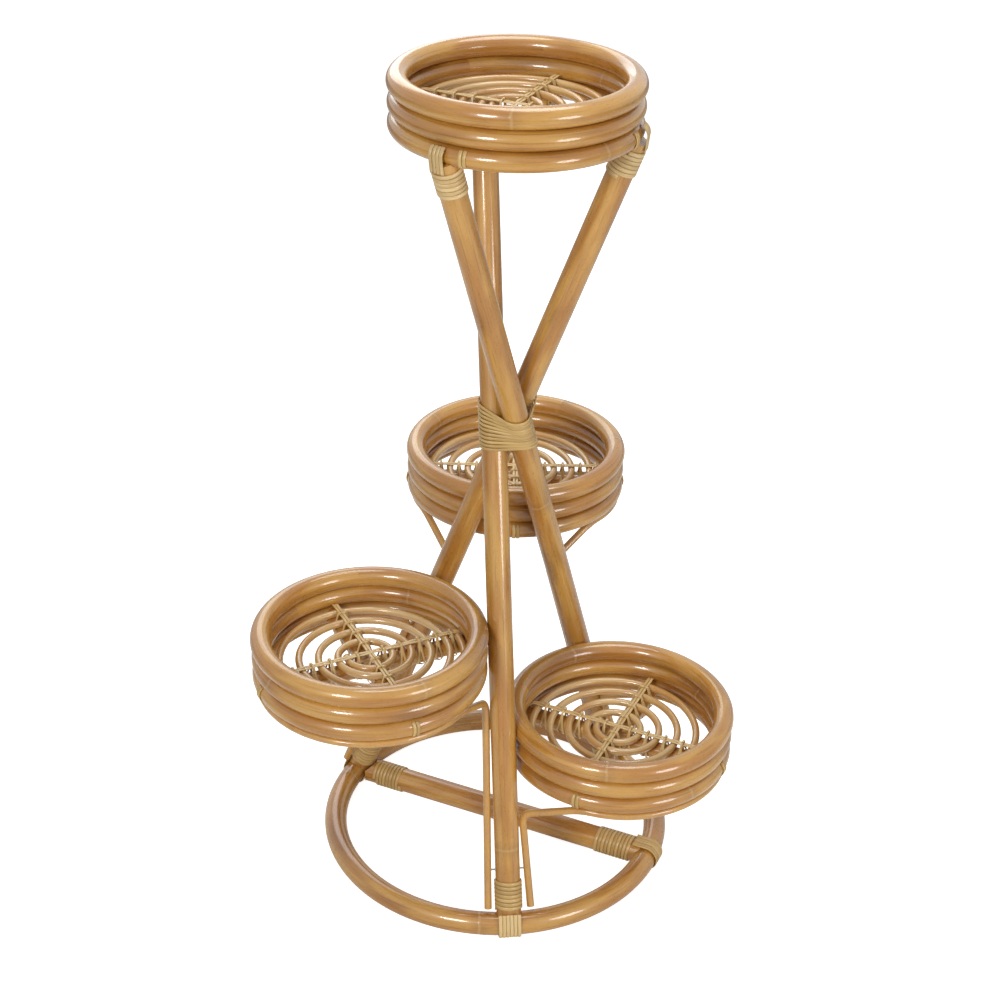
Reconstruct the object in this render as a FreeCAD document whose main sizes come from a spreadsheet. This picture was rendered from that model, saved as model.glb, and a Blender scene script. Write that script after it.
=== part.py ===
import FreeCAD, Part

# Tiered plant stand of varnished rattan. Three straight legs rise from a base ring, lean inwards, touch
# where they cross and open again to carry the top tray. Three more trays hang in the gaps between the
# legs, each on a thin support cane that stands beside two legs. Peel windings bind the joints.
# Millimetres, +Z up, +X to the right seen from the front (-Y). Places are worked out from the centre of
# the base ring on the floor, and the pieces are written with their origin on the floor under the middle
# of the stand's overall width and depth.

import math
import os
from FreeCAD import Placement, Rotation, Vector

# Driving dimensions, in millimetres and degrees. Angles are headings round +Z from +X.
SIZES = {
    # base
    "ring_spine_dia": 374.6,
    "ring_cane": 25.3,
    "crossbar_cane": 27.6,
    "crossbar_right_heading": -21.2,
    # legs
    "leg_cane": 27.0,
    "front_foot_heading": -85.2,
    "back_left_foot_heading": 152.4,
    "back_right_foot_heading": 41.5,
    "front_leg_top_heading": 106.5,
    "back_left_leg_top_heading": -13.5,
    "back_right_leg_top_heading": -125.3,
    # trays: three stacked hoops each
    "hoop_spine_dia": 229.0,
    "rim_cane": 21.6,
    "hoop_cane": 20.2,
    "top_tray_rim_height": 899.9,
    "top_tray_shift_right": 6.0,
    "top_tray_shift_back": 4.1,
    "back_tray_rim_height": 417.8,
    "left_tray_rim_height": 333.0,
    "right_tray_rim_height": 213.8,
    "back_tray_heading": 84.34,
    "left_tray_heading": -144.5,
    "right_tray_heading": -24.22,
    "top_bar_heading": -24.0,
    "back_bar_heading": 0.0,
    "left_bar_heading": 25.5,
    "right_bar_heading": -24.5,
    # tray floors
    "bar_cane": 18.5,
    "floor_cane": 8.0,
    "floor_eye_radius": 24.2,
    "floor_lead_out": 4.0,
    "floor_turns": 3.5,
    "strip_width": 3.0,
    "strip_thickness": 1.0,
    "strip_gap": 0.4,
    "tie_wire": 1.6,
    # support canes under the lower trays
    "support_cane": 8.0,
    "support_circle_dia": 234.0,
    "support_bend_radius": 12.0,
    "support_lead": 14.0,
    "support_opening": 36.0,
    "low_support_drop": 26.0,
    "back_support_drop": 38.0,
    "support_foot_lift": 5.0,
    "left_support_turn": 40.0,
    # windings of peel
    "winding_wire": 3.0,
    "winding_pitch": 4.6,
    "foot_winding_turns": 7.0,
    "foot_winding_lift": 3.0,
    "leg_top_winding_turns": 6.0,
    "crossing_wire": 3.0,
    "crossing_pitch": 4.9,
    "crossing_turns": 11.0,
    "crossing_below": 38.0,
    "crossing_slant": 7.0,
    "crossing_ease": 1.6,
    "strap_wire": 2.0,
    "strap_pitch": 4.1,
    "foot_strap_strands": 6.0,
    "leg_top_strap_strands": 4.0,
    "crossbar_strap_strands": 5.0,
    "crossbar_left_turns": 8.0,
    "crossbar_right_turns": 10.0,
    "crossbar_winding_pitch": 4.3,
    "band_pitch": 4.2,
    # nails
    "nail_dia": 2.0,
    "nail_bite": 18.0,
    "nail_set": 0.8,
    # fits
    "seat_gap": 0.3,
    "hoop_gap": 0.1,
    "floor_flat": 0.5,
}

HALF_TURN = 180.0
FULL_TURN = 360.0
HOOPS = ("rim", "middle", "bottom")
SEARCH_STEPS = 60
GAP_STEP = 2.0


def make_sheet(document):
    """The sheet that holds the driving dimensions, one alias for each."""
    sheet = document.addObject("Spreadsheet::Sheet", "Sizes")
    for row, (alias, number) in enumerate(SIZES.items(), start=1):
        sheet.set(f"A{row}", alias)
        sheet.set(f"B{row}", str(number))
        sheet.setAlias(f"B{row}", alias)
    document.recompute()
    return sheet


DOCUMENT = FreeCAD.newDocument("PlantStand")
SHEET = make_sheet(DOCUMENT)


def size(alias):
    """The value of one driving dimension, read from the sheet."""
    return float(SHEET.get(alias))


# ---------------------------------------------------------------- places and directions

class Frame:
    """A place with three square directions: side, out and up."""

    def __init__(self, origin, up, out):
        self.origin = Vector(origin)
        self.up = Vector(up).normalize()
        self.side = self.up.cross(Vector(out)).normalize()
        self.out = self.side.cross(self.up)

    def at(self, side=0.0, out=0.0, up=0.0):
        return self.origin + self.side * side + self.out * out + self.up * up


def polar(radius, heading, height=0.0):
    """The point at a radius and a heading round the vertical, at a height."""
    angle = math.radians(heading)
    return Vector(radius * math.cos(angle), radius * math.sin(angle), height)


def heading_of(vector):
    return math.degrees(math.atan2(vector.y, vector.x))


UP = Vector(0, 0, 1)
SEAT_GAP = size("seat_gap")
RING_RADIUS = size("ring_spine_dia") / 2
RING_TUBE = size("ring_cane") / 2
LEG_TUBE = size("leg_cane") / 2
RIM_TUBE = size("rim_cane") / 2
HOOP_TUBE = size("hoop_cane") / 2
HOOP_RADIUS = size("hoop_spine_dia") / 2
CROSSBAR_TUBE = size("crossbar_cane") / 2
BAR_TUBE = size("bar_cane") / 2
FLOOR_TUBE = size("floor_cane") / 2
SUPPORT_TUBE = size("support_cane") / 2

# The straps under the ring are what the stand rests on, so they set the height of the ring.
STRAP_REACH = max(LEG_TUBE, RING_TUBE) + SEAT_GAP + size("strap_wire") / 2
RING_HEIGHT = STRAP_REACH + size("strap_wire") / 2 - size("floor_flat")
CROSSBAR_HEIGHT = CROSSBAR_TUBE + 2 * SEAT_GAP + size("strap_wire")

# The reach of a wound leg from its axis, with room to clear the winding.
WOUND_LEG = LEG_TUBE + size("winding_wire") + 3 * SEAT_GAP

# Spine heights of a tray's three hoops, measured down from its rim hoop.
HOOP_DROP = {
    "rim": 0.0,
    "middle": RIM_TUBE + HOOP_TUBE + size("hoop_gap"),
    "bottom": RIM_TUBE + 3 * HOOP_TUBE + 2 * size("hoop_gap"),
}
HOOP_CANE = {"rim": "rim_cane", "middle": "hoop_cane", "bottom": "hoop_cane"}


def bisect(error, low, high):
    """The value between low and high where a rising error crosses zero."""
    for _ in range(SEARCH_STEPS):
        middle = (low + high) / 2
        if error(middle) < 0:
            low = middle
        else:
            high = middle
    return (low + high) / 2


class Leg:
    """The straight axis of one leg, from the ring's spine to the top tray's bottom hoop."""

    def __init__(self, name, foot_heading, top_heading):
        self.name = name
        self.foot_heading = foot_heading
        self.top_heading = top_heading
        self.foot = polar(RING_RADIUS, foot_heading, RING_HEIGHT)
        self.top = TOP_CENTRE + polar(HOOP_RADIUS, top_heading, -HOOP_DROP["bottom"] - HOOP_TUBE)
        self.axis = (self.top - self.foot).normalize()

    def at_height(self, height):
        return self.foot + self.axis * ((height - self.foot.z) / self.axis.z)


def axis_distance(first, second):
    """The least distance between the axes of two legs."""
    across = first.axis.cross(second.axis).normalize()
    return abs(across.dot(second.foot - first.foot))


def make_legs(twist):
    """The three legs, with one more twist added to the headings of all their tops."""
    return [
        Leg(name, size(f"{name}_foot_heading"), size(f"{name}_leg_top_heading") + twist)
        for name in ("front", "back_left", "back_right")
    ]


def leg_clearance(twist):
    front, left, right = make_legs(twist)
    nearest = min(axis_distance(front, left), axis_distance(front, right), axis_distance(left, right))
    return nearest - 2 * LEG_TUBE - SEAT_GAP


TOP_CENTRE = Vector(
    size("top_tray_shift_right"), size("top_tray_shift_back"), size("top_tray_rim_height")
)
# The legs twist past one another just far enough to touch where they cross.
TWIST_RANGE = 12.0
LEGS = make_legs(bisect(leg_clearance, -TWIST_RANGE, TWIST_RANGE))
FRONT, BACK_LEFT, BACK_RIGHT = LEGS


# The crossbar lies across the ring from under the back left leg's foot to the right side.
CROSSBAR_START = polar(RING_RADIUS, size("back_left_foot_heading"), CROSSBAR_HEIGHT)
CROSSBAR_END = polar(RING_RADIUS, size("crossbar_right_heading"), CROSSBAR_HEIGHT)
CROSSBAR_WAY = (CROSSBAR_END - CROSSBAR_START).normalize()


def circle_distance(leg, centre):
    """The least distance from a leg's axis to a hoop's spine circle."""
    def distance(height):
        point = leg.at_height(height)
        level = math.hypot(point.x - centre.x, point.y - centre.y)
        return math.hypot(level - HOOP_RADIUS, height - centre.z)

    low, high = centre.z - HOOP_RADIUS, centre.z + HOOP_RADIUS
    for _ in range(SEARCH_STEPS):
        third = (high - low) / 3
        if distance(low + third) < distance(high - third):
            high = high - third
        else:
            low = low + third
    return distance(low)


def seat_tray(heading, rim_height, legs):
    """The centre of a lower tray's rim, pushed in until its hoops touch the nearer leg."""
    def clearance(radius):
        centre = polar(radius, heading, rim_height)
        if min((leg.at_height(rim_height) - centre).Length for leg in legs) < HOOP_RADIUS:
            return -HOOP_RADIUS
        return min(
            circle_distance(leg, centre - UP * HOOP_DROP[hoop]) - size(HOOP_CANE[hoop]) / 2
            for leg in legs for hoop in HOOPS
        ) - LEG_TUBE - SEAT_GAP

    return polar(bisect(clearance, RING_RADIUS / 2, 2 * RING_RADIUS), heading, rim_height)


class Tray:
    """One tray: its name, the centre of its rim hoop and the heading of its long bar."""

    def __init__(self, name, centre, neighbours=()):
        self.name = name
        self.centre = centre
        self.neighbours = neighbours
        self.bar_heading = size(f"{name}_bar_heading")
        self.bar_height = centre.z - HOOP_DROP["bottom"]

    def frame(self, height, turn=0.0):
        """The tray's own directions at a height, with side along the long bar."""
        origin = Vector(self.centre.x, self.centre.y, height)
        return Frame(origin, UP, polar(1.0, self.bar_heading + turn - FULL_TURN / 4))


def lower_tray(name, neighbours):
    centre = seat_tray(size(f"{name}_tray_heading"), size(f"{name}_tray_rim_height"), neighbours)
    return Tray(name, centre, neighbours)


# A lower tray's neighbours are the leg where its support cane starts and the leg where it ends,
# counterclockwise seen from above.
TRAYS = [
    Tray("top", TOP_CENTRE),
    lower_tray("back", (BACK_RIGHT, BACK_LEFT)),
    lower_tray("left", (BACK_LEFT, FRONT)),
    lower_tray("right", (FRONT, BACK_RIGHT)),
]


# ---------------------------------------------------------------- routes and tubes

SHORTEST_RUN = 1e-6


def rounded_wire(points, radii):
    """Straight runs through points, with a tangent arc of the given radius at each inner point."""
    edges = []
    start = points[0]
    for before, corner, after, radius in zip(points, points[1:], points[2:], radii):
        run_in = (corner - before).normalize()
        run_out = (after - corner).normalize()
        turn = run_in.getAngle(run_out)
        reach = radius * math.tan(turn / 2)
        inward = (run_out - run_in).normalize()
        arc_start = corner - run_in * reach
        arc_end = corner + run_out * reach
        arc_middle = corner + inward * (radius / math.cos(turn / 2) - radius)
        if (arc_start - start).Length > SHORTEST_RUN:
            edges.append(Part.LineSegment(start, arc_start).toShape())
        edges.append(Part.Arc(arc_start, arc_middle, arc_end).toShape())
        start = arc_end
    edges.append(Part.LineSegment(start, points[-1]).toShape())
    return Part.Wire(edges)


def tube(route, diameter):
    """A round cane or strand swept along a route, checked against its section times its length."""
    first = route.OrderedEdges[0]
    start = first.valueAt(first.FirstParameter)
    ahead = first.tangentAt(first.FirstParameter)
    ring = Part.Wire(Part.makeCircle(diameter / 2, start, ahead))
    solid = route.makePipeShell([ring], True, False)
    expected = math.pi * diameter ** 2 / 4 * route.Length
    if abs(solid.Volume / expected - 1) > VOLUME_TOLERANCE:
        raise ValueError(f"a tube holds {solid.Volume:.0f} mm3 where {expected:.0f} mm3 was expected")
    return solid


VOLUME_TOLERANCE = 0.01


def least_self_gap(route, diameter):
    """The least clear gap between stretches of one tube, measured on points along it."""
    points = route.discretize(Distance=GAP_STEP)
    skip = int(math.ceil(3 * diameter / GAP_STEP))
    nearest = min(
        (points[i] - points[j]).Length
        for i in range(len(points)) for j in range(i + skip, len(points))
    )
    return nearest - diameter


def coil_route(frame, radius, pitch, turns, wire):
    """Turns round a frame's up axis, in quarter-turn arcs that each rise a quarter of the pitch."""
    corners = int(round(4 * turns))

    def corner(step):
        angle = math.radians(FULL_TURN / 8 + FULL_TURN / 4 * step)
        reach = radius * math.sqrt(2)
        return frame.at(reach * math.cos(angle), reach * math.sin(angle), pitch * step / 4)

    run = corner(1) - corner(0)
    bend = run.Length / 2 / math.tan(run.getAngle(corner(2) - corner(1)) / 2)
    lead = (corner(0) - corner(-1)).normalize()
    tail = (corner(corners) - corner(corners - 1)).normalize()
    start = (corner(0) + corner(-1)) * 0.5 - lead * wire
    end = (corner(corners) + corner(corners - 1)) * 0.5 + tail * wire
    points = [start] + [corner(step) for step in range(corners)] + [end]
    return rounded_wire(points, [bend] * corners)


def serpentine_route(profile, bends, across, strands, pitch):
    """Strands side by side along the same profile of points, joined end to end by half turns."""
    points, radii = [], []
    for strand in range(strands):
        shift = across * ((strand - (strands - 1) / 2) * pitch)
        line = [point + shift for point in profile]
        line_bends = [pitch / 2] + list(bends) + [pitch / 2]
        if strand % 2:
            line.reverse()
            line_bends.reverse()
        points += line
        radii += line_bends
    return rounded_wire(points, radii[1:-1])


# ---------------------------------------------------------------- making document objects

PARTS = {}


def bind(item, **formulas):
    """Binds an object's sizes to cells of the sheet."""
    for name, formula in formulas.items():
        item.setExpression(name, formula)


def keep(item, label):
    """Marks an object as a finished piece of the stand under its own label."""
    item.Label = label
    PARTS[label] = item
    return item


def feature(name, shape):
    item = DOCUMENT.addObject("Part::Feature", name)
    item.Shape = shape
    return item


def torus(name, centre, spine_dia, cane, spare="0"):
    """A closed ring of cane; spare widens the tube where it is used as a cutter."""
    item = DOCUMENT.addObject("Part::Torus", name)
    bind(item, Radius1=f"Sizes.{spine_dia} / 2", Radius2=f"Sizes.{cane} / 2 + {spare}")
    item.Placement = Placement(centre, Rotation())
    return item


def cylinder(name, start, direction, length, cane):
    """A straight length of cane."""
    item = DOCUMENT.addObject("Part::Cylinder", name)
    bind(item, Radius=f"Sizes.{cane} / 2")
    item.Height = length
    item.Placement = Placement(start, Rotation(UP, direction))
    return item


def cut(name, base, tool):
    item = DOCUMENT.addObject("Part::Cut", name)
    item.Base = base
    item.Tool = tool
    return item


def keep_wound(label, strands, finish=None):
    """One winding, or a group of like windings in one node, from pairs of route and diameter."""
    solids = [tube(route, diameter) for route, diameter in strands]
    if finish:
        solids = [finish(solid) for solid in solids]
    shape = solids[0] if len(solids) == 1 else Part.Compound(solids)
    gap = min(least_self_gap(route, diameter) for route, diameter in strands)
    print(f"{label}: least gap to itself {gap:.2f} mm")
    return keep(feature(label, shape), label)


# ---------------------------------------------------------------- nails

def nail(start, direction, length):
    """A nail driven in at a place on a surface and set a little way under it."""
    sunk = size("nail_set")
    return Part.makeCylinder(size("nail_dia") / 2, length - sunk, start + direction * sunk, direction)


def leg_nails():
    """Nails up through the ring into each foot, and down through the top tray's hoop."""
    bite = size("nail_bite")
    nails = []
    for leg in LEGS:
        nails.append(nail(leg.foot - leg.axis * RING_TUBE, leg.axis, 2 * RING_TUBE + bite))
        seat = leg.top + leg.axis * (HOOP_TUBE / leg.axis.z)
        nails.append(nail(seat + leg.axis * HOOP_TUBE, leg.axis * -1, 2 * HOOP_TUBE + bite))
    return nails


def crossbar_nail():
    """A nail through the ring into the free end of the crossbar."""
    start = polar(RING_RADIUS, size("crossbar_right_heading"), RING_HEIGHT) + CROSSBAR_WAY * RING_TUBE
    return nail(start, CROSSBAR_WAY * -1, 2 * RING_TUBE + size("nail_bite"))


def touching(tray, leg):
    """Whether a tray's rim lies close enough to a leg to be nailed to it."""
    return circle_distance(leg, tray.centre) - RIM_TUBE - LEG_TUBE < NAILED_GAP


NAILED_GAP = 4.0


def tray_nails():
    """A nail through the rim hoop from inside each lower tray into each leg that it touches."""
    nails = []
    for tray in TRAYS[1:]:
        for leg in tray.neighbours:
            if touching(tray, leg):
                toward = leg.at_height(tray.centre.z) - tray.centre
                reach = toward.Length
                toward.normalize()
                start = tray.centre + toward * (HOOP_RADIUS - RIM_TUBE)
                nails.append(nail(start, toward, reach - HOOP_RADIUS + RIM_TUBE))
    return nails


# ---------------------------------------------------------------- support canes

class SupportEnd:
    """Where a support cane runs up beside a leg: its foot, its bend and the way it leaves."""

    def __init__(self, tray, leg, drop, way, turn=0.0):
        tangent = polar(1.0, leg.foot_heading + way * FULL_TURN / 4 + turn)
        side = (tangent - leg.axis * tangent.dot(leg.axis)).normalize()
        plane = support_plane(tray)
        foot_height = RING_HEIGHT + RING_TUBE + size("support_foot_lift")
        # The cane leans in against the leg, and clears the top of the foot winding on its way.
        bend_height = plane - drop
        winding_top = RING_HEIGHT + winding_start() + size("winding_pitch") * (size("foot_winding_turns") + 1)
        share = (winding_top - foot_height) / (bend_height - foot_height)
        bend_reach = LEG_TUBE + SUPPORT_TUBE + SEAT_GAP
        wound_reach = WOUND_LEG + SUPPORT_TUBE + SEAT_GAP
        foot_reach = (wound_reach - bend_reach * share) / (1 - share)
        self.leg = leg
        self.side = side
        self.foot = leg.at_height(foot_height) + side * foot_reach
        self.bend = leg.at_height(bend_height) + side * bend_reach
        radius = size("support_circle_dia") / 2
        away = Vector(self.bend.x - tray.centre.x, self.bend.y - tray.centre.y, 0)
        tangent_opening = math.degrees(math.acos(min(1.0, radius / away.Length)))
        self.heading = heading_of(away) + way * max(tangent_opening, size("support_opening"))
        centre = Vector(tray.centre.x, tray.centre.y, plane)
        leaving = centre + polar(radius, self.heading)
        back = Vector(self.bend.x - leaving.x, self.bend.y - leaving.y, 0).normalize()
        self.lead = leaving + back * size("support_lead")


def support_plane(tray):
    """The height of a support cane's axis where it runs under the tray's bottom hoop."""
    return tray.bar_height - HOOP_TUBE - SEAT_GAP - SUPPORT_TUBE


def support_ends(tray):
    drop = size("back_support_drop") if tray.name == "back" else size("low_support_drop")
    turn = size("left_support_turn") if tray.name == "left" else 0.0
    start_leg, end_leg = tray.neighbours
    return SupportEnd(tray, start_leg, drop, 1, -turn), SupportEnd(tray, end_leg, drop, -1)


def support_route(tray, start, end):
    """Up beside one leg, round under the tray's outer side and down beside the other leg."""
    radius = size("support_circle_dia") / 2
    sweep = (end.heading - start.heading) % FULL_TURN
    steps = int(math.ceil(sweep / LARGEST_STEP))
    step = sweep / steps
    reach = radius / math.cos(math.radians(step / 2))
    centre = Vector(tray.centre.x, tray.centre.y, support_plane(tray))
    circle = [centre + polar(reach, start.heading + step * (i + 0.5)) for i in range(steps)]

    lead_reach = size("support_lead") * LEAD_SHARE

    def lead_bend(support, neighbour):
        turn = (support.lead - support.bend).getAngle(neighbour - support.lead)
        return lead_reach / math.tan(turn / 2)

    def edge_bend(support, corner, neighbour):
        """The arc where the run from the leg meets the circle: as large as its two runs allow."""
        turn = (corner - support.lead).getAngle(neighbour - corner)
        room = (corner - support.lead).Length - lead_reach
        return min(room, radius * math.tan(math.radians(step / 2))) / math.tan(turn / 2)

    points = [start.foot, start.bend, start.lead] + circle + [end.lead, end.bend, end.foot]
    leaving = [size("support_bend_radius"), lead_bend(start, circle[0])]
    arriving = [lead_bend(end, circle[-1]), size("support_bend_radius")]
    round_tray = (
        [edge_bend(start, circle[0], circle[1])]
        + [radius] * (steps - 2)
        + [edge_bend(end, circle[-1], circle[-2])]
    )
    return rounded_wire(points, leaving + round_tray + arriving)


LARGEST_STEP = 30.0
LEAD_SHARE = 0.9


def support_nails():
    """A nail through each support cane into its leg, just above the foot winding."""
    nails = []
    for tray in TRAYS[1:]:
        for end in support_ends(tray):
            height = end.foot.z + size("winding_pitch") * (size("foot_winding_turns") + 2)
            along = (height - end.foot.z) / (end.bend.z - end.foot.z)
            place = end.foot + (end.bend - end.foot) * along
            start = place + end.side * SUPPORT_TUBE
            nails.append(nail(start, end.side * -1, 2 * SUPPORT_TUBE + size("nail_bite")))
    return nails


# ---------------------------------------------------------------- the pieces

def make_nails():
    nails = leg_nails() + [crossbar_nail()] + tray_nails() + support_nails()
    return keep(feature("nails", Part.Compound(nails)), "nails")


def make_base(nails):
    ring = torus("ring_blank", Vector(0, 0, RING_HEIGHT), "ring_spine_dia", "ring_cane")
    keep(cut("base_ring", ring, nails), "base_ring")
    # The crossbar is coped against the ring at its right end. Its left end is notched to clear the
    # straps round the ring and the leg that leans over it.
    start = CROSSBAR_START + CROSSBAR_WAY * (RING_TUBE * COPE_SHARE)
    end = CROSSBAR_END - CROSSBAR_WAY * (RING_TUBE * COPE_SHARE)
    blank = cylinder("crossbar_blank", start, CROSSBAR_WAY, (end - start).Length, "crossbar_cane")
    coped = cut("crossbar_coped", blank, RING_CUTTER)
    strap_cutter = feature("strap_cutter", Part.makeTorus(
        RING_RADIUS, STRAP_REACH + size("strap_wire") / 2 + SEAT_GAP, Vector(0, 0, RING_HEIGHT), UP
    ).common(Part.makeSphere(2 * STRAP_REACH + RING_TUBE, BACK_LEFT.foot)))
    leg_cutter = feature("leg_cutter", Part.makeCylinder(
        WOUND_LEG, 2 * RING_RADIUS, BACK_LEFT.foot, BACK_LEFT.axis
    ))
    strapped = cut("crossbar_strapped", coped, strap_cutter)
    notched = cut("crossbar_notched", strapped, leg_cutter)
    keep(cut("base_crossbar", notched, nails), "base_crossbar")


COPE_SHARE = 0.5
RING_CUTTER = torus(
    "ring_cutter", Vector(0, 0, RING_HEIGHT), "ring_spine_dia", "ring_cane", "Sizes.seat_gap"
)
TOP_HOOP_CUTTER = torus(
    "top_hoop_cutter", TOP_CENTRE - UP * HOOP_DROP["bottom"], "hoop_spine_dia", "hoop_cane",
    "Sizes.seat_gap",
)


def make_leg(leg, nails):
    """A straight leg, coped over the ring at its foot and under the top tray at its head."""
    start = leg.foot + leg.axis * (RING_TUBE * COPE_SHARE)
    end = leg.top + leg.axis * (HOOP_TUBE * COPE_SHARE)
    blank = cylinder(f"{leg.name}_leg_blank", start, leg.axis, (end - start).Length, "leg_cane")
    footed = cut(f"{leg.name}_leg_footed", blank, RING_CUTTER)
    headed = cut(f"{leg.name}_leg_headed", footed, TOP_HOOP_CUTTER)
    keep(cut(f"{leg.name}_leg", headed, nails), f"{leg.name}_leg")


def make_hoops(tray, nails):
    for hoop in HOOPS:
        label = f"{tray.name}_tray_{hoop}_hoop"
        centre = tray.centre - UP * HOOP_DROP[hoop]
        nailed = hoop == ("bottom" if tray.name == "top" else "rim")
        ring = torus(f"{label}_blank", centre, "hoop_spine_dia", HOOP_CANE[hoop])
        keep(cut(label, ring, nails) if nailed else ring, label)


def make_bars(tray):
    """One long bar across the bottom hoop and a cross bar in two halves coped against it."""
    name = f"{tray.name}_tray"
    frame = tray.frame(tray.bar_height)
    hoop_cutter = torus(
        f"{name}_hoop_cutter", frame.origin, "hoop_spine_dia", "hoop_cane", "Sizes.seat_gap"
    )
    blank = cylinder(f"{name}_long_blank", frame.at(-HOOP_RADIUS), frame.side, 2 * HOOP_RADIUS, "bar_cane")
    keep(cut(f"{name}_long_bar", blank, hoop_cutter), f"{name}_long_bar")
    cross_blank = cylinder(
        f"{name}_cross_blank", frame.at(0, -HOOP_RADIUS), frame.out, 2 * HOOP_RADIUS, "bar_cane"
    )
    cross_coped = cut(f"{name}_cross_coped", cross_blank, hoop_cutter)
    long_cutter = cylinder(
        f"{name}_long_cutter", frame.at(-HOOP_RADIUS), frame.side, 2 * HOOP_RADIUS, "bar_cane"
    )
    bind(long_cutter, Radius="Sizes.bar_cane / 2 + Sizes.seat_gap")
    keep(cut(f"{name}_cross_bar", cross_coped, long_cutter), f"{name}_cross_bar")


def floor_radii():
    """Distances from the tray's centre at which the floor spiral passes the long bar, inside first.

    Even entries lie on the side where the spiral ends, odd ones on the side where it starts."""
    edge = HOOP_RADIUS - HOOP_TUBE - SEAT_GAP - FLOOR_TUBE
    end = math.sqrt(edge ** 2 - size("floor_cane") ** 2)
    eye = size("floor_eye_radius")
    halves = int(round(2 * size("floor_turns")))
    step = (end - size("floor_lead_out") - eye) / halves
    return [eye + step * i for i in range(halves + 1)] + [end]


def make_floor(tray):
    """The floor of one tray: a single thin cane coiled flat on the bars, out to the hoop."""
    radii = floor_radii()
    frame = tray.frame(tray.bar_height + BAR_TUBE + SEAT_GAP + FLOOR_TUBE)
    eye = radii[0]
    start = frame.at(-eye, 0)
    edges = [Part.LineSegment(frame.at(-eye, -size("floor_cane")), start).toShape()]
    side = 1
    place = -eye
    for radius in radii:
        next_place = side * radius
        half = (radius + abs(place)) / 2
        middle = frame.at((place + next_place) / 2, side * half)
        edges.append(Part.Arc(frame.at(place), middle, frame.at(next_place)).toShape())
        place = next_place
        side = -side
    edges.append(
        Part.LineSegment(frame.at(place), frame.at(place, -math.copysign(size("floor_cane"), place))).toShape()
    )
    keep_wound(f"{tray.name}_tray_floor", [(Part.Wire(edges), size("floor_cane"))])


def bar_crossings():
    """Where the floor spiral crosses each of the four arms of the bars, from the centre outwards.

    The arms are the long bar's two and then the cross bar's two. An arc of the spiral crosses the
    cross bar at half the sum of the distances at which it leaves and reaches the long bar."""
    radii = floor_radii()
    ending = radii[0::2]
    starting = [radii[0]] + radii[1::2]
    between = [radii[0]] + [(a + b) / 2 for a, b in zip(radii, radii[1:])]
    return {"ending": ending, "starting": starting, "first": between[0::2], "second": between[1::2]}


def tie_places(crossings):
    """The middles of the free gaps between crossings that are wide enough for a tie."""
    edges = [BAR_TUBE - FLOOR_TUBE] + crossings
    need = size("floor_cane") + size("tie_wire") + 2 * TIE_SPARE
    return [(a + b) / 2 for a, b in zip(edges, edges[1:]) if b - a > need]


TIE_SPARE = 1.5


def strip_height(tray):
    """The height of the underside of the flat strips that lie on the floor canes."""
    return tray.bar_height + BAR_TUBE + size("floor_cane") + 2 * SEAT_GAP


def tie_route(frame, places):
    """Loops round a bar that lies along a frame's side, each up over the strips on the floor canes.

    Each loop stands square to the bar, and the strand passes to the next loop under the bar."""
    wire = size("tie_wire")
    girth = BAR_TUBE + SEAT_GAP + wire / 2
    strips = size("strip_width") + size("strip_gap") / 2 + SEAT_GAP + wire / 2
    crest = BAR_TUBE + size("floor_cane") + 3 * SEAT_GAP + size("strip_thickness") + wire / 2
    points, radii = [], []
    for place in places:
        points += [
            frame.at(place, -girth, -girth),
            frame.at(place, -girth, TIE_SHOULDER * girth),
            frame.at(place, -strips, crest),
            frame.at(place, strips, crest),
            frame.at(place, girth, TIE_SHOULDER * girth),
            frame.at(place, girth, -girth),
        ]
        radii += [
            TIE_BEND * girth, girth, TIE_CREST_BEND * strips,
            TIE_CREST_BEND * strips, girth, TIE_BEND * girth,
        ]
    return rounded_wire(points, radii[1:-1])


TIE_SHOULDER = 0.2
TIE_BEND = 0.9
TIE_CREST_BEND = 0.5


def make_ties(tray):
    """One strand of ties along the long bar and one along each half of the cross bar."""
    arms = bar_crossings()
    long_frame = tray.frame(tray.bar_height)
    cross_frame = tray.frame(tray.bar_height, FULL_TURN / 4)
    inner = [-place for place in reversed(tie_places(arms["starting"]))]
    long_places = inner + tie_places(arms["ending"])
    first = [-place for place in reversed(tie_places(arms["first"]))]
    strands = [
        (tie_route(long_frame, long_places), size("tie_wire")),
        (tie_route(cross_frame, first), size("tie_wire")),
        (tie_route(cross_frame, tie_places(arms["second"])), size("tie_wire")),
    ]
    keep_wound(f"{tray.name}_tray_ties", strands)


def make_strips(tray):
    """Two flat strands along the top of the floor canes over the long bar, and over each half bar."""
    width = size("strip_width")
    thickness = size("strip_thickness")
    spacing = (width + size("strip_gap")) / 2
    reach = HOOP_RADIUS - HOOP_TUBE - SEAT_GAP
    long_frame = tray.frame(strip_height(tray))
    cross_frame = tray.frame(strip_height(tray), FULL_TURN / 4)
    inner = width + size("strip_gap") / 2 + SEAT_GAP
    solids = []
    for frame, start, end in (
        (long_frame, -reach, reach), (cross_frame, -reach, -inner), (cross_frame, inner, reach),
    ):
        for shift in (-spacing, spacing):
            strand = Part.makeBox(end - start, width, thickness)
            turn = Rotation(Vector(1, 0, 0), frame.side)
            strand.Placement = Placement(frame.at(start, 0) + side_shift(frame, shift - width / 2), turn)
            solids.append(strand)
    label = f"{tray.name}_tray_strips"
    keep(feature(label, Part.Compound(solids)), label)


def side_shift(frame, shift):
    """A shift square to a frame's side, in the way that a box grows in width."""
    return UP.cross(frame.side) * shift


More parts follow.
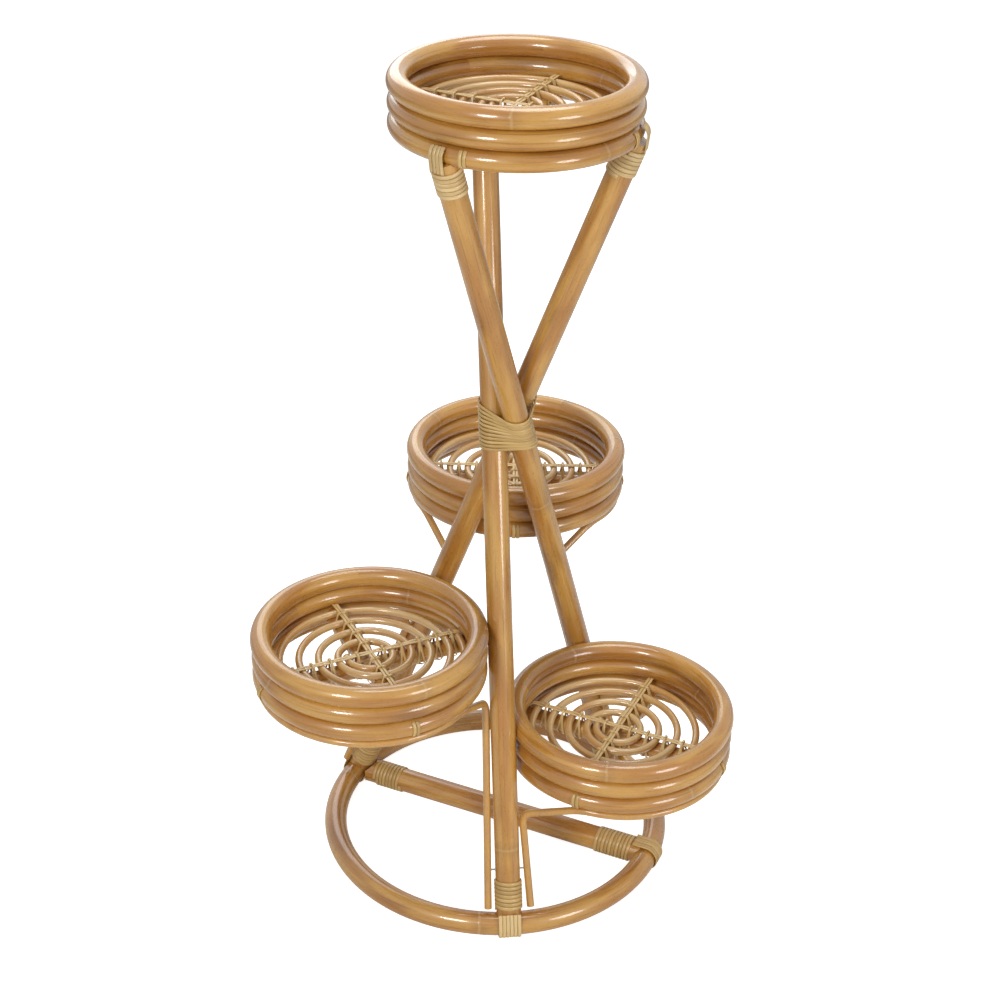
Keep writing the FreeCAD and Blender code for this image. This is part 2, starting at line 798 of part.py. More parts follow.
def make_bands(tray):
    """Two strands of peel over the outside of the bottom hoop at each end of the bars."""
    wire = size("strap_wire")
    reach = HOOP_TUBE + SEAT_GAP + wire / 2
    pitch = size("band_pitch")
    strands = []
    for quarter in range(4):
        outward = polar(1.0, tray.bar_heading + FULL_TURN / 4 * quarter)
        centre = Vector(tray.centre.x, tray.centre.y, tray.bar_height) + outward * HOOP_RADIUS
        half = (BAND_TOP - BAND_FOOT) / 4
        corner = reach / math.cos(math.radians(half))

        def at(radius, angle, ahead=0.0):
            turn = math.radians(angle)
            place = outward * (radius * math.cos(turn)) + UP * (radius * math.sin(turn))
            tangent = outward * -math.sin(turn) + UP * math.cos(turn)
            return centre + place + tangent * ahead

        profile = [
            at(reach, BAND_TOP, wire), at(corner, BAND_TOP - half), at(corner, BAND_FOOT + half),
            at(reach, BAND_FOOT, -pitch / 2),
        ]
        strands.append((serpentine_route(profile, [reach, reach], UP.cross(outward), 2, pitch), wire))
    keep_wound(f"{tray.name}_tray_bands", strands)


# Angles above and below level between which a band shows on the outside of the bottom hoop.
BAND_TOP = 50.0
BAND_FOOT = -42.0


def make_support(tray, nails):
    label = f"{tray.name}_tray_support"
    start, end = support_ends(tray)
    route = support_route(tray, start, end)
    blank = feature(f"{label}_blank", tube(route, size("support_cane")))
    print(f"{label}: length {route.Length:.0f} mm")
    keep(cut(label, blank, nails), label)


def trimmed_to_floor(solid):
    """A strand cut flat where the stand rests on it."""
    box = solid.BoundBox
    below = Part.makeBox(box.XLength + 2, box.YLength + 2, box.ZLength + 2)
    below.translate(Vector(box.XMin - 1, box.YMin - 1, -box.ZLength - 2))
    return solid.cut(below)


def foot_frame(leg):
    """Up the leg from the ring's spine, with out pointing away from the centre of the stand."""
    return Frame(leg.foot, leg.axis, polar(1.0, leg.foot_heading))


def winding_start():
    """How far up a leg from the ring's spine its foot winding begins."""
    return (RING_TUBE + size("winding_wire") / 2 + size("foot_winding_lift")) / FRONT.axis.z


def make_foot_lashing(leg):
    """Strands side by side under the ring, and a winding round the leg above it."""
    wire = size("winding_wire")
    frame = foot_frame(leg)
    start = winding_start()
    coil = Frame(frame.at(up=start), frame.up, frame.out)
    route = coil_route(
        coil, LEG_TUBE + SEAT_GAP + wire / 2, size("winding_pitch"), size("foot_winding_turns"), wire
    )
    keep_wound(f"{leg.name}_foot_winding", [(route, wire)])
    strap = size("strap_wire")
    arm = start - wire / 2 - strap / 2 - size("winding_pitch") / 4 - SEAT_GAP
    # The crossbar ends against the back left foot, so there the strands stop short inside the ring.
    inner_arm = strap if leg is BACK_LEFT else arm
    profile = [
        frame.at(0, STRAP_REACH, arm), frame.at(0, STRAP_REACH, -STRAP_REACH),
        frame.at(0, -STRAP_REACH, -STRAP_REACH), frame.at(0, -STRAP_REACH, inner_arm),
    ]
    strands = int(round(size("foot_strap_strands")))
    route = serpentine_route(
        profile, [STRAP_REACH, STRAP_REACH], frame.side, strands, size("strap_pitch")
    )
    keep_wound(f"{leg.name}_foot_straps", [(route, strap)], trimmed_to_floor)


def wind_crossbar(side, frame, start, turns):
    """A winding round the crossbar that begins a given way in from the ring's spine."""
    wire = size("strap_wire")
    coil = Frame(frame.at(up=start), frame.up, frame.out)
    radius = CROSSBAR_TUBE + SEAT_GAP + wire / 2
    route = coil_route(coil, radius, size("crossbar_winding_pitch"), turns, wire)
    keep_wound(f"crossbar_{side}_winding", [(route, wire)])


def make_crossbar_lashings():
    """A winding at each end of the crossbar, and strands from the right one round the ring."""
    wire = size("strap_wire")
    arm = RING_TUBE + wire
    right = Frame(CROSSBAR_END, CROSSBAR_WAY * -1, UP)
    wind_crossbar(
        "right", right, arm + 2 * wire + size("crossbar_winding_pitch") / 4, size("crossbar_right_turns")
    )
    reach = max(CROSSBAR_TUBE, RING_TUBE) + SEAT_GAP + wire / 2
    profile = [
        right.at(0, reach, arm), right.at(0, reach, -reach),
        right.at(0, -reach, -reach), right.at(0, -reach, arm),
    ]
    strands = int(round(size("crossbar_strap_strands")))
    route = serpentine_route(profile, [reach, reach], right.side, strands, size("strap_pitch"))
    keep_wound("crossbar_right_straps", [(route, wire)])
    # The left winding begins where the leg that leans over the crossbar leaves room for it.
    lean = math.hypot(BACK_LEFT.axis.x, BACK_LEFT.axis.y) / BACK_LEFT.axis.z
    top = CROSSBAR_HEIGHT + CROSSBAR_TUBE + SEAT_GAP + wire
    room = (top - RING_HEIGHT) * lean + WOUND_LEG / BACK_LEFT.axis.z + 2 * wire
    left = Frame(CROSSBAR_START, CROSSBAR_WAY, UP)
    wind_crossbar("left", left, room, size("crossbar_left_turns"))


def make_leg_top_lashing(leg):
    """A winding round the head of a leg, and strands up over the top tray's bottom hoop."""
    wire = size("winding_wire")
    strap = size("strap_wire")
    outward = polar(1.0, leg.top_heading)
    seat = leg.top + leg.axis * (HOOP_TUBE / leg.axis.z)
    frame = Frame(seat, leg.axis, outward)
    start = (HOOP_TUBE + wire / 2 + size("foot_winding_lift")) / leg.axis.z
    coil = Frame(frame.at(up=-start), frame.up * -1, frame.out)
    winding = coil_route(
        coil, LEG_TUBE + SEAT_GAP + wire / 2, size("winding_pitch"), size("leg_top_winding_turns"), wire
    )
    arm = start - wire / 2 - strap / 2 - size("winding_pitch") / 4 - SEAT_GAP
    reach = max(LEG_TUBE, HOOP_TUBE) + SEAT_GAP + strap / 2
    hoop_reach = HOOP_TUBE + 2 * SEAT_GAP + strap / 2
    seam = math.radians(SEAM_ANGLE)
    count = int(round(size("leg_top_strap_strands")))
    strands = [(winding, wire)]
    for way in (1, -1):
        tip = seat + outward * (way * hoop_reach * math.cos(seam)) + UP * (hoop_reach * math.sin(seam))
        # The last run leaves the leg where it is tangent to the hoop at its tip.
        tangent = outward * (way * math.sin(seam)) - UP * math.cos(seam)
        away = frame.out * way
        run = (reach - (tip - seat).dot(away)) / tangent.dot(away)
        profile = [frame.at(0, way * reach, -arm), tip + tangent * run, tip]
        along = UP.cross(outward)
        route = serpentine_route(profile, [hoop_reach * J_BEND], along, count, size("strap_pitch"))
        strands.append((route, strap))
    keep_wound(f"{leg.name}_leg_top_lashing", strands)


SEAM_ANGLE = 58.0
J_BEND = 0.5


def crossing_height():
    """The mean height at which the legs' axes pass closest to one another."""
    total = 0.0
    for first, second in ((FRONT, BACK_LEFT), (BACK_LEFT, BACK_RIGHT), (BACK_RIGHT, FRONT)):
        across = first.axis.cross(second.axis)
        between = second.foot - first.foot
        along = between.cross(second.axis).dot(across) / across.dot(across)
        total += (first.foot + first.axis * along).z
    return total / 3


def make_crossing_lashing():
    """One strand wound round all three legs where they cross.

    It turns round each leg in an arc and runs straight from leg to leg. The later turns ride up on
    the front and back left legs, so they slant over the back right leg."""
    wire = size("crossing_wire")
    order = (FRONT, BACK_RIGHT, BACK_LEFT)
    corners = int(round(3 * size("crossing_turns")))
    steepest = min(leg.axis.z for leg in LEGS)
    bend = LEG_TUBE / steepest + size("crossing_ease") + wire / 2
    start = crossing_height() - size("crossing_below")

    def on_leg(step):
        leg = order[step % 3]
        height = start + size("crossing_pitch") * step / 3
        if leg is not BACK_RIGHT:
            height += size("crossing_slant") * (step / corners) ** 2
        return leg.at_height(height)

    def corner(step):
        here = on_leg(step)
        ways = [(on_leg(step + way) - here).normalize() for way in (-1, 1)]
        half = ways[0].getAngle(ways[1]) / 2
        return here - (ways[0] + ways[1]).normalize() * (bend / math.sin(half))

    points = [corner(step) for step in range(corners)]
    before, after = corner(-1), corner(corners)
    points = [points[0] + (before - points[0]) * END_SHARE] + points
    points.append(points[-1] + (after - points[-1]) * END_SHARE)
    keep_wound("crossing_lashing", [(rounded_wire(points, [bend] * corners), wire)])


END_SHARE = 0.5


# ---------------------------------------------------------------- building and writing

def build():
    nails = make_nails()
    make_base(nails)
    for leg in LEGS:
        make_leg(leg, nails)
        make_foot_lashing(leg)
        make_leg_top_lashing(leg)
    make_crossing_lashing()
    make_crossbar_lashings()
    for tray in TRAYS:
        make_hoops(tray, nails)
        make_bars(tray)
        make_floor(tray)
        make_strips(tray)
        make_ties(tray)
        make_bands(tray)
    for tray in TRAYS[1:]:
        make_support(tray, nails)
    DOCUMENT.recompute()


def check():
    """Stops if any object failed or any piece is empty or broken."""
    for item in DOCUMENT.Objects:
        if "Invalid" in item.State or "Error" in item.State:
            raise RuntimeError(f"{item.Label} failed: {item.State}")
    for label, item in PARTS.items():
        if item.Shape.isNull() or not item.Shape.isValid() or not item.Shape.Solids:
            raise RuntimeError(f"{label} has no valid solid")


def middle_of_stand():
    """The point on the floor under the middle of the stand's overall width and depth."""
    box = FreeCAD.BoundBox()
    for item in PARTS.values():
        box.add(item.Shape.BoundBox)
    return Vector(box.Center.x, box.Center.y, 0)


def write():
    os.makedirs("parts", exist_ok=True)
    origin = middle_of_stand()
    for label, item in PARTS.items():
        placed = item.Shape.copy()
        placed.translate(origin * -1)
        placed.exportStep(os.path.join("parts", f"{label}.step"))
    print(f"{len(PARTS)} pieces written, ring centre at {-origin.x:.3f}, {-origin.y:.3f}")


build()
check()
write()
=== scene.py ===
"""Tiered plant stand of varnished rattan: the canes get their varnish and grain, and every lashing is
laid again in flat split peel. Lengths are in metres; the properties show them in scene units."""

import math

import bpy
import numpy as np
from bpy.props import FloatProperty, FloatVectorProperty, PointerProperty
from mathutils import Matrix, Vector


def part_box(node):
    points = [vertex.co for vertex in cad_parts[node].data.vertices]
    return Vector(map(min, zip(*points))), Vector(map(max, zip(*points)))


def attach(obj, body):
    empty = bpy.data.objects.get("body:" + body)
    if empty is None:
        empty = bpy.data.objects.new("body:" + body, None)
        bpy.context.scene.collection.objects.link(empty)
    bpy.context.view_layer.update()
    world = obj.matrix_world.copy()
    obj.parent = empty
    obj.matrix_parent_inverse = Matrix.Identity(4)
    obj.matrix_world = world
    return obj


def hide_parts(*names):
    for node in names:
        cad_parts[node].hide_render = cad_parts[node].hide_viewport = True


bl_info = {
    "name": "Rattan Plant Stand",
    "version": (1, 0, 0),
    "blender": (4, 5, 0),
    "location": "View3D > Sidebar > Plant Stand",
    "description": "Varnished canes, peel lashings and a studio for a tiered plant stand",
    "category": "Object",
}

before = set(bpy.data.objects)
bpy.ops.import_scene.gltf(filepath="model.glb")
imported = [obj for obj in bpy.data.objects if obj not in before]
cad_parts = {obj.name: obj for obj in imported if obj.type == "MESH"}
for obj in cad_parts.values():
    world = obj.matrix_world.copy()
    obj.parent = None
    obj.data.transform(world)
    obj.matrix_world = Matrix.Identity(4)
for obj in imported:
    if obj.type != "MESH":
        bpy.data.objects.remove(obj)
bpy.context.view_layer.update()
MM = 0.001
UP = np.array([0.0, 0.0, 1.0])
MOSTLY_UP = np.array([0.3, 0.1, 1.0])
LEGS = ("front", "back_left", "back_right")
TRAYS = ("top", "back", "left", "right")
HOOPS = ("rim", "middle", "bottom")


# ---------------------------------------------------------------- what the frame says

def unit(vectors):
    """Vectors divided by their lengths."""
    vectors = np.asarray(vectors, float)
    return vectors / np.linalg.norm(vectors, axis=-1, keepdims=True)


def middle_of(node):
    """The middle of a CAD node's box."""
    low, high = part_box(node)
    return (np.array(low) + np.array(high)) / 2


AXIS_ROUNDS = 6
SIDE_SLOPE = 0.03


def cane_axis(node, radius):
    """A point on a straight cane's axis and its direction, from the faces of its side.

    Their normals are square to the axis, so it is the direction in which the normals spread least, and
    their planes lie one radius from it, which gives the point by least squares. Faces that slope along
    the axis, such as the ends, lose their weight after the first round."""
    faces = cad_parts[node].data.polygons
    normal, centre, area = (np.empty(len(faces) * n) for n in (3, 3, 1))
    faces.foreach_get("normal", normal)
    faces.foreach_get("center", centre)
    faces.foreach_get("area", area)
    normal, centre, weight = normal.reshape(-1, 3), centre.reshape(-1, 3), area
    for _ in range(AXIS_ROUNDS):
        way = np.linalg.eigh((normal * weight[:, None]).T @ normal)[1][:, 0]
        weight = area * (np.abs(normal @ way) < SIDE_SLOPE)
    share = np.sqrt(weight)
    middle = np.average(centre, axis=0, weights=weight)
    planes = np.append(normal * share[:, None], [way], axis=0)
    reach = np.append((np.sum(normal * centre, axis=1) - radius) * share, way @ middle)
    return np.linalg.lstsq(planes, reach, rcond=None)[0], way * np.sign(way @ MOSTLY_UP)


class Place:
    """A place with three square directions: side, out and up, as arrays."""

    def __init__(self, origin, up, out):
        self.origin = np.asarray(origin, float)
        self.up = unit(up)
        self.side = unit(np.cross(self.up, out))
        self.out = np.cross(self.side, self.up)

    def at(self, side=0.0, out=0.0, up=0.0):
        side, out, up = (np.asarray(x, float)[..., None] for x in (side, out, up))
        return self.origin + self.side * side + self.out * out + self.up * up


def turned(way, degrees):
    """A level direction turned round the vertical."""
    heading = math.atan2(way[1], way[0]) + math.radians(degrees)
    return np.array([math.cos(heading), math.sin(heading), 0.0])


RING_CENTRE = middle_of("base_ring")
RING_LOW, RING_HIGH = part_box("base_ring")
RING_TUBE = (RING_HIGH.z - RING_LOW.z) / 2
RING_RADIUS = (RING_HIGH.x - RING_LOW.x) / 2 - RING_TUBE
# Radii of the canes, and the gap that pieces keep from one another.
LEG_TUBE = 13.5 * MM
CROSSBAR_TUBE = 13.8 * MM
BAR_TUBE = 9.25 * MM
FLOOR_TUBE = 4.0 * MM
SEAT = 0.3 * MM
WINDING_SEAT = 0.2 * MM
LEG_AXES = {leg: cane_axis(f"{leg}_leg", LEG_TUBE) for leg in LEGS}
CROSSBAR_MIDDLE, CROSSBAR_WAY = cane_axis("base_crossbar", CROSSBAR_TUBE)
if CROSSBAR_WAY[0] < 0:
    CROSSBAR_WAY = -CROSSBAR_WAY


def on_leg(leg, height):
    """The point of a leg's axis at a height."""
    centre, way = LEG_AXES[leg]
    return centre + way * ((height - centre[2]) / way[2])


class Tray:
    """One tray as the frame has it: its centre, its bars' height and directions and its bottom hoop."""

    def __init__(self, name):
        self.centre = middle_of(f"{name}_tray_rim_hoop")
        low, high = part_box(f"{name}_tray_bottom_hoop")
        self.bar_height = (low.z + high.z) / 2
        self.hoop_tube = (high.z - low.z) / 2
        self.hoop_radius = (high.x - low.x) / 2 - self.hoop_tube
        way = cane_axis(f"{name}_tray_long_bar", BAR_TUBE)[1]
        self.long_way = unit([way[0], way[1], 0.0]) * (1 if way[0] > 0 else -1)
        self.hub = np.array([self.centre[0], self.centre[1], self.bar_height])

    def place(self, quarter=0):
        """The tray's directions with side along the long bar, or turned by quarters from it."""
        side = turned(self.long_way, 90.0 * quarter)
        return Place(self.hub, UP, turned(side, -90.0))


# ---------------------------------------------------------------- sizes and colours a user may change

def linear(code):
    """An sRGB hex colour as linear red, green and blue."""
    parts = [int(code[i:i + 2], 16) / 255 for i in (1, 3, 5)]
    return tuple(p / 12.92 if p <= 0.04045 else ((p + 0.055) / 1.055) ** 2.4 for p in parts)


def length(name, description, default):
    """A length that a user may change, its default given in millimetres."""
    return FloatProperty(name=name, description=description, default=default * MM, unit="LENGTH", min=0.0)


def colour(name, description, code):
    """A colour that a user may change, its default given as sRGB hex."""
    return FloatVectorProperty(
        name=name, description=description, subtype="COLOR", size=3, min=0.0, max=1.0, default=linear(code)
    )


class PeelSizes(bpy.types.PropertyGroup):
    """Widths, thicknesses and spacings of the split peel."""

    winding_width: length("Winding width", "Width of the peel wound round the legs", 4.2)
    winding_thickness: length("Winding thickness", "Thickness of the peel wound round the legs", 1.5)
    winding_pitch: length("Winding pitch", "Spacing of the turns round a leg", 4.6)
    strap_width: length("Strap width", "Width of the strands over the ring and hoops", 3.8)
    strap_thickness: length("Strap thickness", "Thickness of the strands over the ring and hoops", 1.2)
    strap_pitch: length("Strap pitch", "Spacing of strands side by side", 4.1)
    crossing_width: length("Crossing width", "Width of the peel round the legs' crossing", 3.4)
    crossing_thickness: length("Crossing thickness", "Thickness of the peel at the crossing", 1.3)
    strip_width: length("Strip width", "Width of the flat strands along the floors", 2.9)
    strip_thickness: length("Strip thickness", "Thickness of the strands along the floors", 0.9)
    tie_width: length("Tie width", "Width of the strand that ties the floors down", 2.4)
    tie_thickness: length("Tie thickness", "Thickness of the strand that ties the floors down", 0.7)


class CaneColours(bpy.types.PropertyGroup):
    """Colours of the varnished canes and of the peel."""

    honey: colour("Honey", "The lighter grain of the varnished canes", "#CC9A4A")
    amber: colour("Amber", "The usual grain of the varnished canes", "#B47B31")
    brown: colour("Brown", "Darker streaks and the blotches of the canes", "#784719")
    ridge: colour("Ridge", "The pale ring at each growth ridge of a cane", "#D6B47A")
    core: colour("Core", "The thin canes of the floors", "#C49452")
    straw: colour("Straw", "The usual colour of the peel", "#D0AD6C")
    olive: colour("Olive", "The darker fibres of the peel", "#A9854A")
    pale: colour("Pale", "The peel of the ties, strips and foot strands", "#E3C68E")


def sizes():
    """The peel's sizes as the scene has them now."""
    return bpy.context.scene.peel_sizes


def colours():
    """The colours of cane and peel as the scene has them now."""
    return bpy.context.scene.cane_colours


# ---------------------------------------------------------------- surfaces carried along a path

TURN_STEPS = 40
ARC_STEP = 0.6 * MM
MOST_STEPS = 60
SAME_PLACE = 0.02 * MM
STRAND_SHIFT = 0.37


def tangents(path):
    """Unit directions along a path, from the differences of its neighbouring points."""
    return unit(np.gradient(path, axis=0))


def section_of_peel(width, thickness):
    """The section of a strip of peel as (across, out) points: flat underneath and domed on top."""
    across = np.array([-0.5, 0.5, 0.5, 0.36, 0.14, -0.14, -0.36, -0.5]) * width
    out = np.array([-0.5, -0.5, 0.05, 0.38, 0.5, 0.5, 0.38, 0.05]) * thickness
    return np.stack([across, out], axis=1)


def section_of_cane(radius, sides=20):
    """A circle as (across, out) points."""
    angle = np.arange(sides) * (2 * math.pi / sides)
    return np.stack([np.cos(angle), np.sin(angle)], axis=1) * radius


def carried(path, outward, section):
    """A section carried along a path: point (i, j) is path i plus across i times section j's first
    number plus out i times its second, where out is outward squared to the path."""
    ahead = tangents(path)
    out = unit(outward - ahead * np.sum(outward * ahead, axis=1, keepdims=True))
    across = np.cross(out, ahead)
    return path[:, None] + across[:, None] * section[None, :, :1] + out[:, None] * section[None, :, 1:]


def mesh_of(name, stretches, section):
    """One mesh object of several stretches of the same section, each closed by a face at both ends.

    Each stretch is its path with the section carried along it. The UV map runs in metres: u along the
    path, moved on for each stretch so that no two have the same grain, and v round the section."""
    corners, faces, uvs = [], [], []
    first = 0
    girth = np.append(0.0, np.cumsum(np.linalg.norm(np.roll(section, -1, axis=0) - section, axis=1)))
    for number, (path, outward) in enumerate(stretches):
        grid = carried(path, outward, section)
        rows, columns = grid.shape[:2]
        run = np.append(0.0, np.cumsum(np.linalg.norm(np.diff(path, axis=0), axis=1)))
        run += number * STRAND_SHIFT
        i, j = np.meshgrid(np.arange(rows - 1), np.arange(columns), indexing="ij")
        i, j = i.ravel(), j.ravel()
        k = (j + 1) % columns
        quads = np.stack([i * columns + j, i * columns + k, (i + 1) * columns + k, (i + 1) * columns + j], 1)
        quad_uv = np.stack([
            np.stack([run[i], girth[j]], 1), np.stack([run[i], girth[j + 1]], 1),
            np.stack([run[i + 1], girth[j + 1]], 1), np.stack([run[i + 1], girth[j]], 1),
        ], axis=1)
        corners.append(grid.reshape(-1, 3))
        faces += (quads + first).tolist()
        uvs.append(quad_uv.reshape(-1, 2))
        ends = [np.arange(columns)[::-1], np.arange(columns) + (rows - 1) * columns]
        for end, place in zip(ends, (run[0], run[-1])):
            faces.append((end + first).tolist())
            uvs.append(np.stack([np.full(columns, place), girth[:columns]], 1))
        first += rows * columns
    mesh = bpy.data.meshes.new(name)
    mesh.from_pydata(np.concatenate(corners).tolist(), [], faces)
    mesh.uv_layers.new(name="Peel").data.foreach_set("uv", np.concatenate(uvs).ravel())
    mesh.polygons.foreach_set("use_smooth", np.ones(len(faces), bool))
    mesh.update()
    piece = bpy.data.objects.new(name, mesh)
    bpy.context.scene.collection.objects.link(piece)
    return piece


def finished(piece, material, slot, *nodes):
    """A piece with its material that stands for CAD nodes and rides on the stand."""
    piece.data.materials.append(material)
    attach(piece, "root")
    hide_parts(*nodes)


def laid(name, stretches, kind, peel, node):
    """Strands of one kind of peel, as its sizes are named, finished in place of a CAD node."""
    width, thickness = (getattr(sizes(), f"{kind}_{measure}") for measure in ("width", "thickness"))
    finished(mesh_of(name, stretches, section_of_peel(width, thickness)), peel, "peel", node)


def rounded(points, radii):
    """A path through points, in straight runs joined by tangent arcs of the given radii.

    An arc is its centre plus the spoke to its start times the cosine of the angle turned, plus the
    direction there times the radius and the sine."""
    points = np.asarray(points, float)
    stops = [points[0]]
    pieces = []
    for before, corner, after, radius in zip(points, points[1:], points[2:], radii):
        run_in, run_out = unit(corner - before), unit(after - corner)
        turn = math.acos(np.clip(run_in @ run_out, -1, 1))
        reach = radius * math.tan(turn / 2)
        start = corner - run_in * reach
        centre = start + unit(run_out - run_in * (run_in @ run_out)) * radius
        angle = np.linspace(0, turn, max(3, int(radius * turn / ARC_STEP)))[:, None]
        spoke, ahead = start - centre, run_in * radius
        pieces += [straight(stops[-1], start), centre + spoke * np.cos(angle) + ahead * np.sin(angle)]
        stops.append(pieces[-1][-1])
    pieces.append(straight(stops[-1], points[-1]))
    path = np.concatenate(pieces)
    apart = np.append(True, np.linalg.norm(np.diff(path, axis=0), axis=1) > SAME_PLACE)
    return path[apart]


def straight(start, end):
    """Points evenly along a straight run, about three steps of an arc apart."""
    count = max(2, min(MOST_STEPS, int(np.linalg.norm(end - start) / (3 * ARC_STEP)) + 1))
    return start + (end - start) * np.linspace(0, 1, count)[:, None]


def coil(place, radius, pitch, turns):
    """A helix round a place's up direction: side is the radius times the cosine of the angle, out the
    radius times its sine, and the height grows by one pitch for each turn."""
    angle = np.linspace(0, turns * 2 * math.pi, int(turns * TURN_STEPS))
    path = place.at(np.cos(angle) * radius, np.sin(angle) * radius, angle / (2 * math.pi) * pitch)
    outward = place.side * np.cos(angle)[:, None] + place.out * np.sin(angle)[:, None]
    return path, outward


def facing_away(path, axis, middle):
    """Directions square to a path and to an axis, on the side away from a middle point."""
    outward = np.cross(tangents(path), axis)
    return outward * np.sign(np.sum(outward * (path - middle), axis=1).mean())


def side_by_side(path, outward, across, count):
    """Strands next to one another: number n is the path moved across by the strap pitch times n less
    half of one less than the count."""
    shifts = (np.arange(count) - (count - 1) / 2) * sizes().strap_pitch
    return [(path + across * shift, outward) for shift in shifts]


def u_strands(place, reach, arms, count):
    """Strands side by side in a U: down from its outer arm, under the place at the reach, and up its
    inner arm, with bends of the same reach."""
    corners = ((reach, arms[0]), (reach, -reach), (-reach, -reach), (-reach, arms[1]))
    path = rounded([place.at(0, out, up) for out, up in corners], [reach, reach])
    return side_by_side(path, facing_away(path, place.side, place.origin), place.side, count)


def wind_leg(name, place, turns, peel, node):
    """Peel wound round a leg from a place on its axis."""
    size = sizes()
    radius = LEG_TUBE + WINDING_SEAT + size.winding_thickness / 2
    laid(name, [coil(place, radius, size.winding_pitch, turns)], "winding", peel, node)


# ---------------------------------------------------------------- materials

def add(tree, kind, links=(), **settings):
    """Adds a node, sets its settings, and links or sets its inputs."""
    node = tree.nodes.new(kind)
    for name, setting in settings.items():
        setattr(node, name, setting)
    for socket, source in dict(links).items():
        if isinstance(source, bpy.types.NodeSocket):
            tree.links.new(source, node.inputs[socket])
        else:
            node.inputs[socket].default_value = source
    return node


def new_material(name):
    """A material of this name with an empty node tree, and the tree."""
    material = bpy.data.materials.new(name)
    material.use_nodes = True
    material.node_tree.nodes.clear()
    return material, material.node_tree


def along_straight(tree, way, shift):
    """Object coordinates turned so that x runs along a straight cane, and moved along it by a shift."""
    turn = Vector(way).rotation_difference(Vector((1, 0, 0))).to_euler()
    place = add(tree, "ShaderNodeTexCoord").outputs["Object"]
    return add(tree, "ShaderNodeMapping", {
        "Vector": place, "Location": (shift, 0, 0), "Rotation": tuple(turn),
    }).outputs["Vector"]


def along_round(tree, centre, radius, joint):
    """Coordinates round a hoop: x the way round from its joint, y the distance from the middle, z up.

    The way round is the angle of the place about the hoop's middle times the hoop's radius. The place is
    turned first, so that the angle jumps at the joint."""
    place = add(tree, "ShaderNodeTexCoord").outputs["Object"]
    mapped = add(tree, "ShaderNodeMapping", {
        "Vector": place, "Location": tuple(-np.asarray(centre)),
    }).outputs["Vector"]
    turned_to = add(tree, "ShaderNodeVectorRotate", {
        "Vector": mapped, "Angle": math.radians(180 - joint),
    }, rotation_type="Z_AXIS").outputs["Vector"]
    parts = add(tree, "ShaderNodeSeparateXYZ", {"Vector": turned_to}).outputs
    angle = add(tree, "ShaderNodeMath", {0: parts["Y"], 1: parts["X"]}, operation="ARCTAN2").outputs[0]
    run = add(tree, "ShaderNodeMath", {0: angle, 1: radius}, operation="MULTIPLY").outputs[0]
    flat = add(tree, "ShaderNodeCombineXYZ", {"X": parts["X"], "Y": parts["Y"]}).outputs[0]
    spoke = add(tree, "ShaderNodeVectorMath", {0: flat}, operation="LENGTH").outputs["Value"]
    return add(tree, "ShaderNodeCombineXYZ", {"X": run, "Y": spoke, "Z": parts["Z"]}).outputs[0]


def along_map(tree):
    """The piece's own UV map, in metres: x along the strand and y round it."""
    return add(tree, "ShaderNodeUVMap", uv_map="Peel").outputs["UV"]


GRAIN_DRIFT = 1.7


def grain(tree, along, run, width, detail, seed):
    """Streaks that run along a cane: noise stretched to a run by a width, both real lengths."""
    scaled = add(tree, "ShaderNodeVectorMath", {
        0: along, 1: (1 / run, 1 / width, 1 / width),
    }, operation="MULTIPLY").outputs[0]
    moved = add(tree, "ShaderNodeVectorMath", {
        0: scaled, 1: (seed, seed * GRAIN_DRIFT, 0),
    }, operation="ADD").outputs[0]
    return add(tree, "ShaderNodeTexNoise", {"Vector": moved, "Scale": 1.0, "Detail": detail}).outputs["Fac"]


def eased(tree, value, span, reach):
    """A value eased from one range into another."""
    return add(tree, "ShaderNodeMapRange", {
        "Value": value, "From Min": span[0], "From Max": span[1], "To Min": reach[0], "To Max": reach[1],
    }, interpolation_type="SMOOTHSTEP").outputs["Result"]


def stained(tree, wood, *stains):
    """A colour with stains over it, one after another: each is a value, the range over which it comes
    in, its least and greatest share, and its colour."""
    for value, span, shares, stain in stains:
        wood = add(tree, "ShaderNodeMix", {
            0: eased(tree, value, span, shares), 6: wood, 7: stain,
        }, data_type="RGBA").outputs[2]
    return wood


def under_varnish(tree, wood, roughness, relief, depth, coat_weight, haze):
    """The surface of varnished wood: its colour, roughness and relief under a clear coat."""
    height, strength = relief
    bump = add(tree, "ShaderNodeBump", {"Height": height, "Strength": strength, "Distance": depth}).outputs[0]
    shader = add(tree, "ShaderNodeBsdfPrincipled", {
        "Base Color": wood, "Roughness": roughness, "Normal": bump, "IOR": VARNISH_IOR,
        "Coat Weight": coat_weight, "Coat Roughness": haze, "Coat IOR": VARNISH_IOR,
    })
    add(tree, "ShaderNodeOutputMaterial", {"Surface": shader.outputs[0]})


# Run and width of the marks in the canes' skin: fibres, broad streaks, flecks and scorched blotches.
FIBRE = (60 * MM, 1.6 * MM)
STREAK = (95 * MM, 16 * MM)
FLECK = (7 * MM, 2.2 * MM)
SCORCH = (130 * MM, 34 * MM)
# How far from the middle of a growth ridge its pale ring and the shade beside it reach.
RIDGE = (0.5 * MM, 1.9 * MM)
RIDGE_SHADE = (1.5 * MM, 14 * MM)
RIDGE_WOBBLE = 6 * MM
RIDGE_SHIFT = 0.193
# The fibres and streaks of split peel.
PEEL_FIBRE = (26 * MM, 0.7 * MM)
PEEL_STREAK = (70 * MM, 9 * MM)
# The drawing lines of nail wire, drawn coarser than the real ones so that they show.
WIRE_LINE = (0.4 * MM, 4 * MM)
VARNISH_IOR = 1.5


